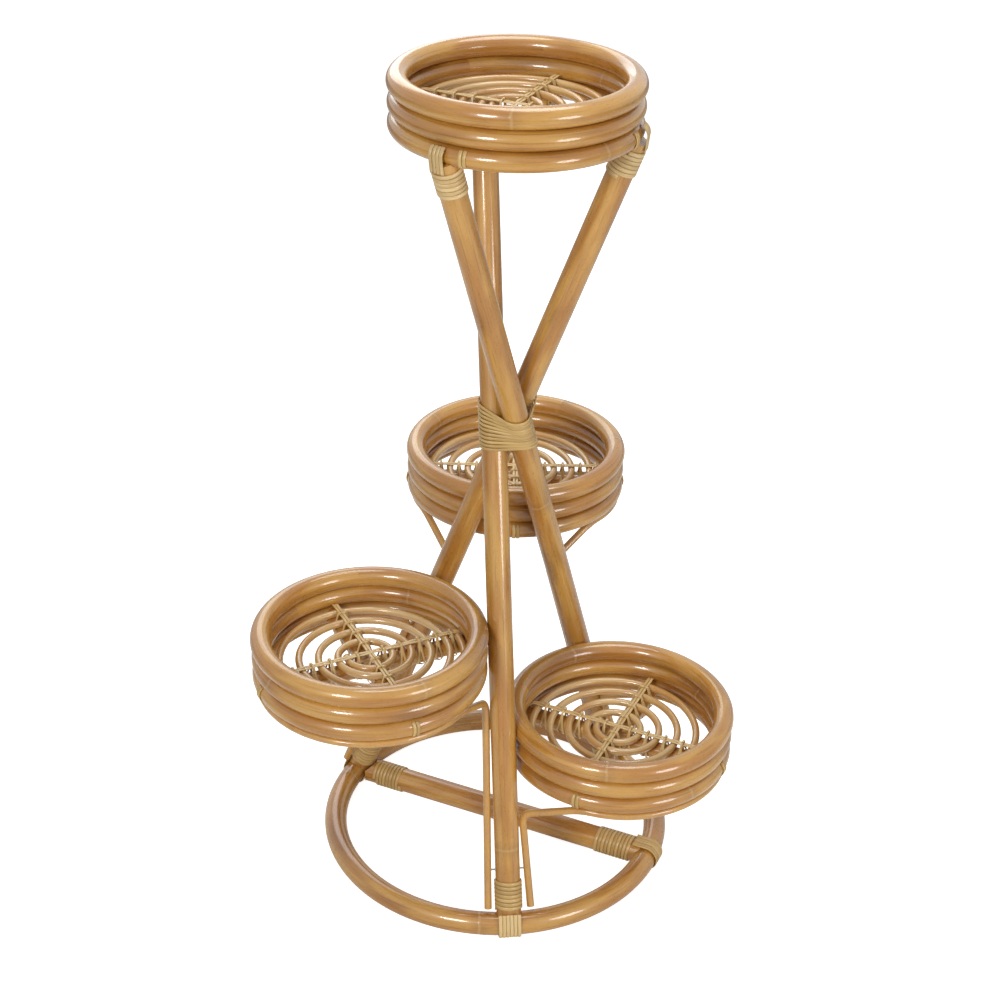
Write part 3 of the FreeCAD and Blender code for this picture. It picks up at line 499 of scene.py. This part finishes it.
def varnished_cane(name, where, seed, growth, light="honey", base="amber", dark="brown"):
    """Rattan pole, skin on, steam bent and varnished.

    The varnish is glossy and slightly uneven. Under it fine streaks run along the pole, broad blotches
    are darker where it was scorched to bend it, and a faint pale ring marks each growth ridge, which
    come as far apart as growth says."""
    palette = colours()
    material, tree = new_material(name)
    pale, usual, deep, ring = ((*getattr(palette, tone), 1.0) for tone in (light, base, dark, "ridge"))
    along = where(tree)
    fine = grain(tree, along, *FIBRE, 4.0, seed)
    broad = grain(tree, along, *STREAK, 2.0, seed + 3.1)
    fleck = grain(tree, along, *FLECK, 2.0, seed + 8.4)
    scorch = grain(tree, along, *SCORCH, 2.0, seed + 5.7)
    run = add(tree, "ShaderNodeSeparateXYZ", {"Vector": along}).outputs["X"]
    wobble = add(tree, "ShaderNodeMath", {
        0: broad, 1: RIDGE_WOBBLE, 2: run,
    }, operation="MULTIPLY_ADD").outputs[0]
    shifted = add(tree, "ShaderNodeMath", {0: wobble, 1: seed * RIDGE_SHIFT}, operation="ADD").outputs[0]
    away = add(tree, "ShaderNodeMath", {0: shifted, 1: growth / 2}, operation="PINGPONG").outputs[0]
    wood = stained(
        tree, pale,
        (broad, (0.36, 0.62), (0.0, 1.0), usual),
        (fine, (0.50, 0.78), (0.0, 0.5), deep),
        (scorch, (0.56, 0.74), (0.0, 0.55), deep),
        (fleck, (0.66, 0.78), (0.0, 0.30), deep),
        (away, RIDGE_SHADE, (0.22, 0.0), deep),
        (away, RIDGE, (0.3, 0.0), ring),
    )
    ridge = eased(tree, away, RIDGE, (1.0, 0.0))
    relief = add(tree, "ShaderNodeMath", {0: ridge, 1: 2.0, 2: fine}, operation="MULTIPLY_ADD").outputs[0]
    under_varnish(tree, wood, roughness=eased(tree, fleck, (0.3, 0.7), (0.26, 0.38)),
                  relief=(relief, 0.22), depth=0.3 * MM, coat_weight=0.8, haze=0.08)
    return material


def split_peel(name, seed, light="straw", dark="olive"):
    """Rattan peel: the skin of the pole split off in flat strands and varnished with the stand.

    The skin side is smooth and half glossy, paler than the poles, with hair-fine fibres along it."""
    palette = colours()
    material, tree = new_material(name)
    pale, deep = ((*getattr(palette, tone), 1.0) for tone in (light, dark))
    along = along_map(tree)
    fibre = grain(tree, along, *PEEL_FIBRE, 3.0, seed)
    broad = grain(tree, along, *PEEL_STREAK, 2.0, seed + 2.3)
    skin = stained(
        tree, pale, (broad, (0.38, 0.66), (0.0, 0.6), deep), (fibre, (0.52, 0.76), (0.0, 0.55), deep)
    )
    under_varnish(tree, skin, roughness=eased(tree, fibre, (0.3, 0.7), (0.34, 0.46)),
                  relief=(fibre, 0.3), depth=0.2 * MM, coat_weight=0.3, haze=0.2)
    return material


def drawn_steel():
    """Drawn steel wire of the nails: a grey metal with fine lines along it."""
    material, tree = new_material("drawn steel nails")
    place = add(tree, "ShaderNodeTexCoord").outputs["Object"]
    lines = grain(tree, place, *WIRE_LINE, 2.0, 0.0)
    grey = add(tree, "ShaderNodeMix", {
        0: lines, 6: (*linear("#7C7A76"), 1.0), 7: (*linear("#A5A29C"), 1.0),
    }, data_type="RGBA").outputs[2]
    shader = add(tree, "ShaderNodeBsdfPrincipled", {
        "Base Color": grey,
        "Roughness": eased(tree, lines, (0.3, 0.7), (0.32, 0.48)),
        "Metallic": 1.0,
    })
    add(tree, "ShaderNodeOutputMaterial", {"Surface": shader.outputs[0]})
    return material


def coat(node, material):
    """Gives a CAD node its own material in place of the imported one."""
    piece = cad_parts[node]
    piece.data.materials.clear()
    piece.data.materials.append(material)


# ---------------------------------------------------------------- the canes

class STAND_OT_base_canes(bpy.types.Operator):
    """Varnish the base ring and the crossbar"""

    bl_idname = "stand.base_canes"
    bl_label = "Base canes"

    def execute(self, context):
        coat("base_ring", varnished_cane(
            "varnished rattan pole, base ring",
            lambda tree: along_round(tree, RING_CENTRE, RING_RADIUS, joint=100.0), seed=2.0, growth=0.34,
        ))
        coat("base_crossbar", varnished_cane(
            "varnished rattan pole, crossbar",
            lambda tree: along_straight(tree, CROSSBAR_WAY, shift=0.05), seed=5.0, growth=0.4,
        ))
        return {"FINISHED"}


class STAND_OT_legs(bpy.types.Operator):
    """Varnish the three legs"""

    bl_idname = "stand.legs"
    bl_label = "Legs"

    def execute(self, context):
        for number, leg in enumerate(LEGS):
            way = LEG_AXES[leg][1]
            coat(f"{leg}_leg", varnished_cane(
                f"varnished rattan pole, {leg} leg",
                lambda tree: along_straight(tree, way, shift=0.0),
                seed=7.0 + 2.6 * number, growth=0.46,
            ))
        return {"FINISHED"}


class STAND_OT_hoops(bpy.types.Operator):
    """Varnish the three hoops of each tray"""

    bl_idname = "stand.hoops"
    bl_label = "Hoops"

    # Heading at which each tray's rim hoop is joined; the hoops below are joined a little further round.
    RIM_JOINTS = {"top": 75.0, "back": 60.0, "left": 100.0, "right": 164.0}
    JOINT_STEP = 41.0
    # Radius of the hoops' spines.
    SPINE = 114.5 * MM

    def execute(self, context):
        for number, name in enumerate(TRAYS):
            for step, hoop in enumerate(HOOPS):
                node = f"{name}_tray_{hoop}_hoop"
                joint = self.RIM_JOINTS[name] + self.JOINT_STEP * step
                centre = middle_of(node)
                coat(node, varnished_cane(
                    f"varnished rattan cane, {name} {hoop} hoop",
                    lambda tree: along_round(tree, centre, self.SPINE, joint),
                    seed=11.0 + 3.3 * number + 1.3 * step, growth=0.43,
                ))
        return {"FINISHED"}


class STAND_OT_bars(bpy.types.Operator):
    """Varnish the bars under the floors"""

    bl_idname = "stand.bars"
    bl_label = "Bars"

    def execute(self, context):
        for number, name in enumerate(TRAYS):
            tray = Tray(name)
            for quarter, bar in enumerate(("long", "cross")):
                way = turned(tray.long_way, 90.0 * quarter)
                coat(f"{name}_tray_{bar}_bar", varnished_cane(
                    f"varnished rattan cane, {name} {bar} bar",
                    lambda tree: along_straight(tree, way, shift=0.03),
                    seed=31.0 + number * 2 + quarter, growth=0.33,
                ))
        return {"FINISHED"}


class STAND_OT_supports(bpy.types.Operator):
    """Varnish the thin canes under the lower trays"""

    bl_idname = "stand.supports"
    bl_label = "Support canes"

    def execute(self, context):
        for number, name in enumerate(TRAYS[1:]):
            coat(f"{name}_tray_support", varnished_cane(
                f"varnished thin cane, {name} support",
                lambda tree: along_straight(tree, UP, shift=0.02), seed=41.0 + number, growth=0.37,
                light="honey", base="core", dark="amber",
            ))
        return {"FINISHED"}


class STAND_OT_nails(bpy.types.Operator):
    """Give the nails their steel"""

    bl_idname = "stand.nails"
    bl_label = "Nails"

    def execute(self, context):
        coat("nails", drawn_steel())
        return {"FINISHED"}


# ---------------------------------------------------------------- tray floors

FLOOR_EYE = 24.2 * MM
FLOOR_LEAD_OUT = 4.0 * MM
FLOOR_HALF_TURNS = 7
# Points of the cane's two ends and of its smallest half turn, and the radius that adds one point more.
FLOOR_END_POINTS = 6
FLOOR_TURN_POINTS = 24
FLOOR_POINT_STEP = 1.2 * MM
# How far the strips rise and dip as they pass over the coils.
STRIP_WAVE = 0.25 * MM


def floor_radii(tray):
    """Distances at which the floor cane crosses the long bar: even steps out from the eye, then one
    last half turn that runs out to the bottom hoop."""
    edge = tray.hoop_radius - tray.hoop_tube - SEAT - FLOOR_TUBE
    end = math.sqrt(edge ** 2 - (2 * FLOOR_TUBE) ** 2)
    steps = np.linspace(FLOOR_EYE, end - FLOOR_LEAD_OUT, FLOOR_HALF_TURNS + 1)
    return np.append(steps, end)


def floor_path(tray, place):
    """A flat coil of half circles whose ends all lie on the long bar, each a little larger than the
    last: x is its middle minus its radius times the cosine, and out its radius times the sine."""
    radii = floor_radii(tray)
    ways = np.where(np.arange(len(radii)) % 2 == 0, 1.0, -1.0)
    ends = np.append(-radii[0], ways * radii)
    pieces = [place.at(-radii[0], np.linspace(-2 * FLOOR_TUBE, 0, FLOOR_END_POINTS)[:-1])]
    for start, end, way in zip(ends, ends[1:], ways):
        half = abs(end - start) / 2
        angle = np.linspace(0, math.pi, FLOOR_TURN_POINTS + int(half / FLOOR_POINT_STEP))[:-1]
        pieces.append(place.at((start + end) / 2 - way * half * np.cos(angle), way * half * np.sin(angle)))
    pieces.append(place.at(ends[-1], np.linspace(0, -2 * FLOOR_TUBE * ways[-1], FLOOR_END_POINTS)))
    return np.concatenate(pieces)


class STAND_OT_floors(bpy.types.Operator):
    """Coil the thin cane of each tray's floor"""

    bl_idname = "stand.floors"
    bl_label = "Floors"

    def execute(self, context):
        for number, name in enumerate(TRAYS):
            tray = Tray(name)
            place = tray.place()
            place.origin = tray.hub + UP * (BAR_TUBE + SEAT + FLOOR_TUBE)
            stretch = (floor_path(tray, place), UP)
            piece = mesh_of(f"{name}_floor_cane", [stretch], section_of_cane(FLOOR_TUBE))
            cane = varnished_cane(
                f"varnished thin cane, {name} floor", along_map, seed=51.0 + number, growth=0.42,
                light="ridge", base="core", dark="amber",
            )
            finished(piece, cane, "thin_cane", f"{name}_tray_floor")
        return {"FINISHED"}


class STAND_OT_floor_strips(bpy.types.Operator):
    """Lay the flat strands along the top of each floor, over both bars"""

    bl_idname = "stand.floor_strips"
    bl_label = "Floor strips"

    GAP = 0.5 * MM
    COIL_STEP = 10.3 * MM
    END_RUN = 6 * MM
    END_DROP = 1.6 * MM
    POINTS = 160

    def heights(self, run, reach, top, side):
        """How high a strand lies along its run: the top plus the wave times a sine that makes half a
        turn for each coil, and near the hoop the top less the end drop times the square of how far
        into the end run it is."""
        drop = self.END_DROP * np.clip(1 - (reach - np.abs(run)) / self.END_RUN, 0, 1) ** 2
        wave = STRIP_WAVE * np.sin(run / self.COIL_STEP * math.pi + side)
        return top + wave * (drop == 0) - drop

    def execute(self, context):
        size = sizes()
        for number, name in enumerate(TRAYS):
            tray = Tray(name)
            reach = tray.hoop_radius - tray.hoop_tube - SEAT
            top = BAR_TUBE + SEAT + 2 * FLOOR_TUBE + SEAT + size.strip_thickness / 2
            spacing = (size.strip_width + self.GAP) / 2
            inner = size.strip_width + self.GAP / 2 + SEAT
            stretches = []
            for quarter, start, end in ((0, -reach, reach), (1, -reach, -inner), (1, inner, reach)):
                place = tray.place(quarter)
                run = np.linspace(start, end, self.POINTS)
                for side in (-1, 1):
                    path = place.at(run, side * spacing, self.heights(run, reach, top, side))
                    stretches.append((path, UP))
            peel = split_peel(f"split peel, {name} strips", seed=61.0 + number, light="pale", dark="straw")
            laid(f"{name}_floor_strips", stretches, "strip", peel, f"{name}_tray_strips")
        return {"FINISHED"}


class STAND_OT_floor_ties(bpy.types.Operator):
    """Tie each floor down with strands that cross over the strips between its coils"""

    bl_idname = "stand.floor_ties"
    bl_label = "Floor ties"

    SPREAD = 4.6 * MM
    ROOM = 4.6 * MM
    PAST_STRIPS = 0.3 * MM
    OVER = 0.1 * MM
    # Shares of the loop's half width: the height of its shoulder and the bends at its top and foot.
    SHOULDER = 0.2
    TOP_BEND = 0.5
    FOOT_BEND = 0.9

    def places(self, crossings):
        """The middles of the gaps along a bar that have room for a tie beside the coils."""
        edges = np.append(BAR_TUBE - FLOOR_TUBE, crossings)
        need = 2 * FLOOR_TUBE + self.ROOM
        return [(a + b) / 2 for a, b in zip(edges, edges[1:]) if b - a > need]

    def loop(self, place, along, lean, lift):
        """One strand round a bar and over the strips: an upright loop whose lower part is moved along
        the bar on each side, by the spread times how far down it is, so that it leans."""
        size = sizes()
        girth = BAR_TUBE + SEAT + size.tie_thickness / 2 + lift
        strips = size.strip_width + SEAT + size.tie_thickness / 2 + self.PAST_STRIPS + lift
        crest = BAR_TUBE + 2 * SEAT + 2 * FLOOR_TUBE + size.strip_thickness + STRIP_WAVE
        crest += size.tie_thickness / 2 + SEAT + lift
        shoulder = self.SHOULDER * girth
        top_bend, foot_bend = self.TOP_BEND * strips, self.FOOT_BEND * girth
        outline = np.array([
            (0, crest), (strips, crest), (girth, shoulder), (girth, -girth), (-girth, -girth),
            (-girth, shoulder), (-strips, crest), (0, crest),
        ])
        flat = rounded(
            np.insert(outline, 1, 0, axis=1), [top_bend, girth, foot_bend, foot_bend, girth, top_bend]
        )
        out, up = flat[:, 0], flat[:, 2]
        shift = -lean * self.SPREAD * np.clip(out / girth, -1, 1) * (crest - up) / (crest + girth)
        path = place.at(along + shift, out, up)
        return path, path - place.at(along, 0.0, shoulder)

    def execute(self, context):
        size = sizes()
        for number, name in enumerate(TRAYS):
            tray = Tray(name)
            radii = floor_radii(tray)
            between = np.append(radii[0], (radii[:-1] + radii[1:]) / 2)
            arms = (
                (0, 1, radii[0::2]), (0, -1, np.append(radii[0], radii[1::2])),
                (1, -1, between[0::2]), (1, 1, between[1::2]),
            )
            stretches = []
            for quarter, way, crossings in arms:
                place = tray.place(quarter)
                for along in self.places(crossings):
                    stretches.append(self.loop(place, way * along, 1, 0.0))
                    stretches.append(self.loop(place, way * along, -1, size.tie_thickness + self.OVER))
            peel = split_peel(f"split peel, {name} ties", seed=71.0 + number, light="pale", dark="straw")
            laid(f"{name}_floor_ties", stretches, "tie", peel, f"{name}_tray_ties")
        return {"FINISHED"}


class STAND_OT_hoop_bands(bpy.types.Operator):
    """Bring the peel round the outside of the bottom hoop at the ends of the bars"""

    bl_idname = "stand.hoop_bands"
    bl_label = "Hoop bands"

    # The angles about the hoop's spine at which a strand starts and ends, in degrees up from level.
    FOOT, TOP = -44.0, 52.0
    PITCH = 4.2 * MM
    POINTS = 28

    def strand(self, tray, way, side):
        """One strand: the hoop's spine at the bar's end, plus the reach times the way out times the
        cosine of the angle and up times its sine, moved along the hoop by the side times the pitch."""
        angle = np.radians(np.linspace(self.FOOT, self.TOP, self.POINTS))[:, None]
        outward = way * np.cos(angle) + UP * np.sin(angle)
        reach = tray.hoop_tube + SEAT + sizes().strap_thickness / 2
        shift = np.cross(UP, way) * (side * self.PITCH)
        return tray.hub + way * tray.hoop_radius + outward * reach + shift, outward

    def execute(self, context):
        for number, name in enumerate(TRAYS):
            tray = Tray(name)
            ways = [turned(tray.long_way, 90.0 * quarter) for quarter in range(4)]
            stretches = [self.strand(tray, way, side) for way in ways for side in (-0.5, 0.5)]
            peel = split_peel(f"split peel, {name} bands", seed=81.0 + number)
            laid(f"{name}_hoop_bands", stretches, "strap", peel, f"{name}_tray_bands")
        return {"FINISHED"}


# ---------------------------------------------------------------- lashings of the legs and crossbar

class STAND_OT_foot_lashings(bpy.types.Operator):
    """Wind each leg's foot and lay the strands under the base ring"""

    bl_idname = "stand.foot_lashings"
    bl_label = "Foot lashings"

    TURNS = 7
    START = 18.3 * MM
    STRANDS = 6
    SHORT_ARM = 2 * MM

    def execute(self, context):
        size = sizes()
        for number, leg in enumerate(LEGS):
            foot = on_leg(leg, RING_CENTRE[2])
            outward = unit((foot - RING_CENTRE) * [1, 1, 0])
            place = Place(foot, LEG_AXES[leg][1], outward)
            wind_leg(
                f"{leg}_foot_peel", Place(place.at(up=self.START), place.up, -place.out), self.TURNS,
                split_peel(f"split peel, {leg} foot winding", seed=91.0 + number), f"{leg}_foot_winding",
            )
            reach = RING_CENTRE[2] - size.strap_thickness / 2
            arm = self.START - size.winding_width / 2 - size.winding_pitch / 4
            # The crossbar passes over the ring on the inside of the back left foot, and stops the strands.
            inner = self.SHORT_ARM if leg == "back_left" else arm
            strands = u_strands(place, reach, (arm, inner), self.STRANDS)
            peel = split_peel(
                f"split peel, {leg} foot strands", seed=95.0 + number, light="pale", dark="straw"
            )
            laid(f"{leg}_foot_strands", strands, "strap", peel, f"{leg}_foot_straps")
        return {"FINISHED"}


class STAND_OT_leg_top_lashings(bpy.types.Operator):
    """Wind each leg's head and bring strands up both sides of the top tray's bottom hoop"""

    bl_idname = "stand.leg_top_lashings"
    bl_label = "Leg top lashings"

    TURNS = 6
    BELOW_HOOP = 4.5 * MM
    STRANDS = 4
    SEAM_ANGLE = math.radians(58.0)
    RUN_POINTS = 8
    ARC_POINTS = 16

    def over_hoop(self, centre, away, start, reach):
        """Strands from a point on the leg, straight to where they touch the hoop, then round it.

        The straight run touches a circle of the given reach; from there the path is that circle, up to
        the seam below the next hoop."""
        across, rise = (start - centre) @ away, (start - centre) @ UP
        touch = math.atan2(rise, across) + math.acos(reach / math.hypot(across, rise))
        angle = np.linspace(touch, self.SEAM_ANGLE, self.ARC_POINTS)[:, None]
        spokes = away * np.cos(angle) + UP * np.sin(angle)
        share = np.linspace(0, 1, self.RUN_POINTS)[:-1, None]
        run = start + (centre + spokes[0] * reach - start) * share
        path = np.concatenate([run, centre + spokes * reach])
        outward = np.concatenate([np.tile(spokes[0], (len(run), 1)), spokes])
        return side_by_side(path, outward, np.cross(UP, away), self.STRANDS)

    def execute(self, context):
        size = sizes()
        tray = Tray("top")
        for number, leg in enumerate(LEGS):
            seat = on_leg(leg, tray.bar_height)
            outward = unit((seat - tray.hub) * [1, 1, 0])
            place = Place(seat, LEG_AXES[leg][1], outward)
            start = (tray.hoop_tube + self.BELOW_HOOP) / place.up[2]
            peel = split_peel(f"split peel, {leg} head", seed=101.0 + number, light="pale", dark="olive")
            wound = Place(place.at(up=-start), -place.up, place.out)
            wind_leg(f"{leg}_head_peel", wound, self.TURNS, peel, f"{leg}_leg_top_lashing")
            arm = start - size.winding_width / 2 - size.winding_pitch / 4
            reach = LEG_TUBE + SEAT + size.strap_thickness / 2
            hoop_reach = tray.hoop_tube + 2 * SEAT + size.strap_thickness / 2
            strands = []
            for way in (1, -1):
                strands += self.over_hoop(seat, outward * way, place.at(0, way * reach, -arm), hoop_reach)
            laid(f"{leg}_head_strands", strands, "strap", peel, f"{leg}_leg_top_lashing")
        return {"FINISHED"}


class STAND_OT_crossing_lashing(bpy.types.Operator):
    """Bind the three legs together where they cross"""

    bl_idname = "stand.crossing_lashing"
    bl_label = "Crossing lashing"

    ORDER = ("front", "back_right", "back_left")
    TURNS = 11
    PITCH = 3.5 * MM
    BELOW = 22.5 * MM
    SLANT = 7.0 * MM
    EASE = 0.5 * MM

    def crossing_height(self):
        """The mean height at which the legs' axes pass closest to one another."""
        heights = []
        for first, second in (("front", "back_left"), ("back_left", "back_right"), ("back_right", "front")):
            start, way = LEG_AXES[first]
            other_start, other_way = LEG_AXES[second]
            across = np.cross(way, other_way)
            along = np.cross(other_start - start, other_way) @ across / (across @ across)
            heights.append((start + way * along)[2])
        return sum(heights) / len(heights)

    def execute(self, context):
        size = sizes()
        corners = 3 * self.TURNS
        start = self.crossing_height() - self.BELOW
        # A level cut through the leg that leans most is the longest, and the strand clears it.
        most_leaning = min(LEG_AXES[leg][1][2] for leg in LEGS)
        bend = LEG_TUBE / most_leaning + self.EASE + size.crossing_thickness / 2

        def place_on_leg(step):
            """The point of a leg's axis that the strand passes: each step is the next leg, a third of
            a turn on and a third of the pitch up."""
            leg = self.ORDER[step % 3]
            height = start + self.PITCH * step / 3
            # The later turns rise on two of the legs only, so that they lie slanting.
            if leg != "back_right":
                height += self.SLANT * (step / corners) ** 2
            return on_leg(leg, height)

        def corner(step):
            """The corner outside a leg at which the straight runs before and after it would meet."""
            here = place_on_leg(step)
            ways = [unit(place_on_leg(step + way) - here) for way in (-1, 1)]
            half = math.acos(ways[0] @ ways[1]) / 2
            return here - unit(ways[0] + ways[1]) * (bend / math.sin(half))

        points = [corner(step) for step in range(corners)]
        # The strand starts and ends half way between two legs.
        first, last = (points[0] + corner(-1)) / 2, (points[-1] + corner(corners)) / 2
        path = rounded([first] + points + [last], [bend] * corners)
        outward = facing_away(path, UP, path.mean(axis=0))
        peel = split_peel("split peel, crossing", seed=111.0, light="straw", dark="olive")
        laid("crossing_peel", [(path, outward)], "crossing", peel, "crossing_lashing")
        return {"FINISHED"}


class STAND_OT_crossbar_lashings(bpy.types.Operator):
    """Wind both ends of the crossbar and lay strands from its right end round the ring"""

    bl_idname = "stand.crossbar_lashings"
    bl_label = "Crossbar lashings"

    PITCH = 4.3 * MM
    TURNS = {"left": 8, "right": 10}
    STRANDS = 5

    def wind(self, side, place, seed):
        """One strand wound round an end of the crossbar, from a place inwards."""
        radius = CROSSBAR_TUBE + WINDING_SEAT + sizes().strap_thickness / 2
        stretch = coil(place, radius, self.PITCH, self.TURNS[side])
        peel = split_peel(f"split peel, crossbar {side}", seed=seed)
        laid(f"crossbar_{side}_peel", [stretch], "strap", peel, f"crossbar_{side}_winding")

    def execute(self, context):
        size = sizes()
        ends = {}
        for side, way in (("left", -1), ("right", 1)):
            along = (middle_of(f"crossbar_{side}_winding") - CROSSBAR_MIDDLE) @ CROSSBAR_WAY
            half = self.PITCH * self.TURNS[side] / 2
            ends[side] = CROSSBAR_MIDDLE + CROSSBAR_WAY * (along + way * half)
        self.wind("right", Place(ends["right"], -CROSSBAR_WAY, UP), seed=121.0)
        self.wind("left", Place(ends["left"], CROSSBAR_WAY, UP), seed=122.0)
        # The strands stand round the ring where the crossbar's axis meets its spine.
        level_way = CROSSBAR_WAY[:2]
        offset = CROSSBAR_MIDDLE[:2] - RING_CENTRE[:2]
        ahead = offset @ level_way
        run = -ahead + math.sqrt(ahead ** 2 - offset @ offset + RING_RADIUS ** 2)
        ring_point = CROSSBAR_MIDDLE + CROSSBAR_WAY * run
        seat = Place(ring_point, -CROSSBAR_WAY, UP)
        reach = CROSSBAR_TUBE + SEAT + size.strap_thickness / 2
        arm = (ends["right"] - ring_point) @ seat.up - size.strap_width / 2 - self.PITCH / 4
        strands = u_strands(seat, reach, (arm, arm), self.STRANDS)
        peel = split_peel("split peel, crossbar strands", seed=127.0)
        laid("crossbar_right_strands", strands, "strap", peel, "crossbar_right_straps")
        return {"FINISHED"}


# ---------------------------------------------------------------- studio

# Glow of the floor in the lamps' light, and to the camera.
FLOOR_GLOW = (0.04, 0.84)


def floor_material():
    """White painted board: matt for the lamps, and white to the camera except in the stand's shadow."""
    material, tree = new_material("white painted board")
    matt = add(tree, "ShaderNodeBsdfPrincipled", {"Base Color": (*linear("#F4F4F2"), 1.0), "Roughness": 0.9})
    rays = add(tree, "ShaderNodeLightPath").outputs
    strength = add(tree, "ShaderNodeMapRange", {
        "Value": rays["Is Camera Ray"], "To Min": FLOOR_GLOW[0], "To Max": FLOOR_GLOW[1],
    }).outputs["Result"]
    glow = add(tree, "ShaderNodeEmission", {"Color": (1, 1, 1, 1), "Strength": strength})
    both = add(tree, "ShaderNodeAddShader", {0: matt.outputs[0], 1: glow.outputs[0]}).outputs[0]
    add(tree, "ShaderNodeOutputMaterial", {"Surface": both})
    return material


class STAND_OT_studio(bpy.types.Operator):
    """Set up the floor, the lamps and the camera at the photograph's angle"""

    bl_idname = "stand.studio"
    bl_label = "Studio"

    # The camera was fitted to the outlines in the photograph: its place from the centre of the base
    # ring in metres, its angles in degrees and its lens in millimetres.
    CAMERA_PLACE = (-0.0205, -1.7724, 1.4523)
    PITCH = 29.693
    YAW = 0.594
    ROLL = 1.2025
    LENS = 68.77
    # name, place, size, watts
    LAMPS = (
        ("key lamp", (-1.0, -2.1, 1.75), 0.7, 28.0),
        ("fill lamp", (1.5, -1.6, 0.9), 0.8, 15.0),
        ("top lamp", (0.2, 0.3, 2.6), 1.2, 21.0),
        ("back lamp", (-0.6, 1.9, 1.7), 1.4, 10.0),
    )
    LAMP_AIM = (0, 0, 0.42)
    FLOOR_REACH = 14.0
    # Strength of the white world as light, and as the camera and reflections see it.
    WORLD_LIGHT = 0.18
    WORLD_SEEN = 1.0

    def stage_floor(self):
        corners = np.array([(-1, -1, 0), (1, -1, 0), (1, 1, 0), (-1, 1, 0)]) * self.FLOOR_REACH
        mesh = bpy.data.meshes.new("studio_floor")
        mesh.from_pydata(corners.tolist(), [], [(0, 1, 2, 3)])
        floor = bpy.data.objects.new("studio_floor", mesh)
        bpy.context.scene.collection.objects.link(floor)
        mesh.materials.append(floor_material())

    def lamp(self, name, place, size, watts):
        light = bpy.data.lights.new(name, "AREA")
        light.shape = "DISK"
        light.size = size
        light.energy = watts
        lamp = bpy.data.objects.new(name, light)
        bpy.context.scene.collection.objects.link(lamp)
        lamp.location = place
        aim = Vector(self.LAMP_AIM) - Vector(place)
        lamp.rotation_euler = aim.to_track_quat("-Z", "Y").to_euler()

    def camera(self):
        camera = bpy.data.cameras.new("photo camera")
        camera.sensor_width = 36.0
        camera.lens = self.LENS
        camera.clip_end = 60.0
        holder = bpy.data.objects.new("photo camera", camera)
        bpy.context.scene.collection.objects.link(holder)
        pitch, yaw, roll = (math.radians(x) for x in (self.PITCH, self.YAW, self.ROLL))
        turn = (
            Matrix.Rotation(-yaw, 4, "Z")
            @ Matrix.Rotation(math.pi / 2 - pitch, 4, "X")
            @ Matrix.Rotation(roll, 4, "Z")
        )
        ring = Vector((RING_CENTRE[0], RING_CENTRE[1], 0))
        holder.matrix_world = Matrix.Translation(ring + Vector(self.CAMERA_PLACE)) @ turn
        bpy.context.scene.camera = holder

    def execute(self, context):
        scene = context.scene
        scene.view_settings.view_transform = "Standard"
        world = bpy.data.worlds.new("studio world")
        scene.world = world
        world.use_nodes = True
        tree = world.node_tree
        tree.nodes.clear()
        rays = add(tree, "ShaderNodeLightPath").outputs
        seen = add(tree, "ShaderNodeMath", {
            0: rays["Is Camera Ray"], 1: rays["Is Glossy Ray"],
        }, operation="MAXIMUM").outputs[0]
        light, shown = (
            add(tree, "ShaderNodeBackground", {"Color": (1, 1, 1, 1), "Strength": strength}).outputs[0]
            for strength in (self.WORLD_LIGHT, self.WORLD_SEEN)
        )
        choice = add(tree, "ShaderNodeMixShader", {0: seen, 1: light, 2: shown}).outputs[0]
        add(tree, "ShaderNodeOutputWorld", {"Surface": choice})
        self.stage_floor()
        for lamp in self.LAMPS:
            self.lamp(*lamp)
        self.camera()
        return {"FINISHED"}


# ---------------------------------------------------------------- panel and registration

OPERATORS = (
    STAND_OT_base_canes, STAND_OT_legs, STAND_OT_hoops, STAND_OT_bars, STAND_OT_supports, STAND_OT_nails,
    STAND_OT_floors, STAND_OT_floor_strips, STAND_OT_floor_ties, STAND_OT_hoop_bands,
    STAND_OT_foot_lashings, STAND_OT_leg_top_lashings, STAND_OT_crossing_lashing,
    STAND_OT_crossbar_lashings, STAND_OT_studio,
)


class STAND_PT_sidebar(bpy.types.Panel):
    """Sizes, colours and the steps that dress the stand"""

    bl_label = "Plant Stand"
    bl_idname = "STAND_PT_sidebar"
    bl_space_type = "VIEW_3D"
    bl_region_type = "UI"
    bl_category = "Plant Stand"

    def draw(self, context):
        layout = self.layout
        for group in (context.scene.peel_sizes, context.scene.cane_colours):
            for name in group.__annotations__:
                layout.prop(group, name)
        for operator in OPERATORS:
            layout.operator(operator.bl_idname)


CLASSES = (PeelSizes, CaneColours, *OPERATORS, STAND_PT_sidebar)


def register():
    for item in CLASSES:
        bpy.utils.register_class(item)
    bpy.types.Scene.peel_sizes = PointerProperty(type=PeelSizes)
    bpy.types.Scene.cane_colours = PointerProperty(type=CaneColours)


def unregister():
    del bpy.types.Scene.cane_colours
    del bpy.types.Scene.peel_sizes
    for item in reversed(CLASSES):
        bpy.utils.unregister_class(item)


def main():
    """Dresses the stand step by step."""
    register()
    for operator in OPERATORS:
        family, step = operator.bl_idname.split(".")
        getattr(getattr(bpy.ops, family), step)()


if __name__ == "__main__":
    main()
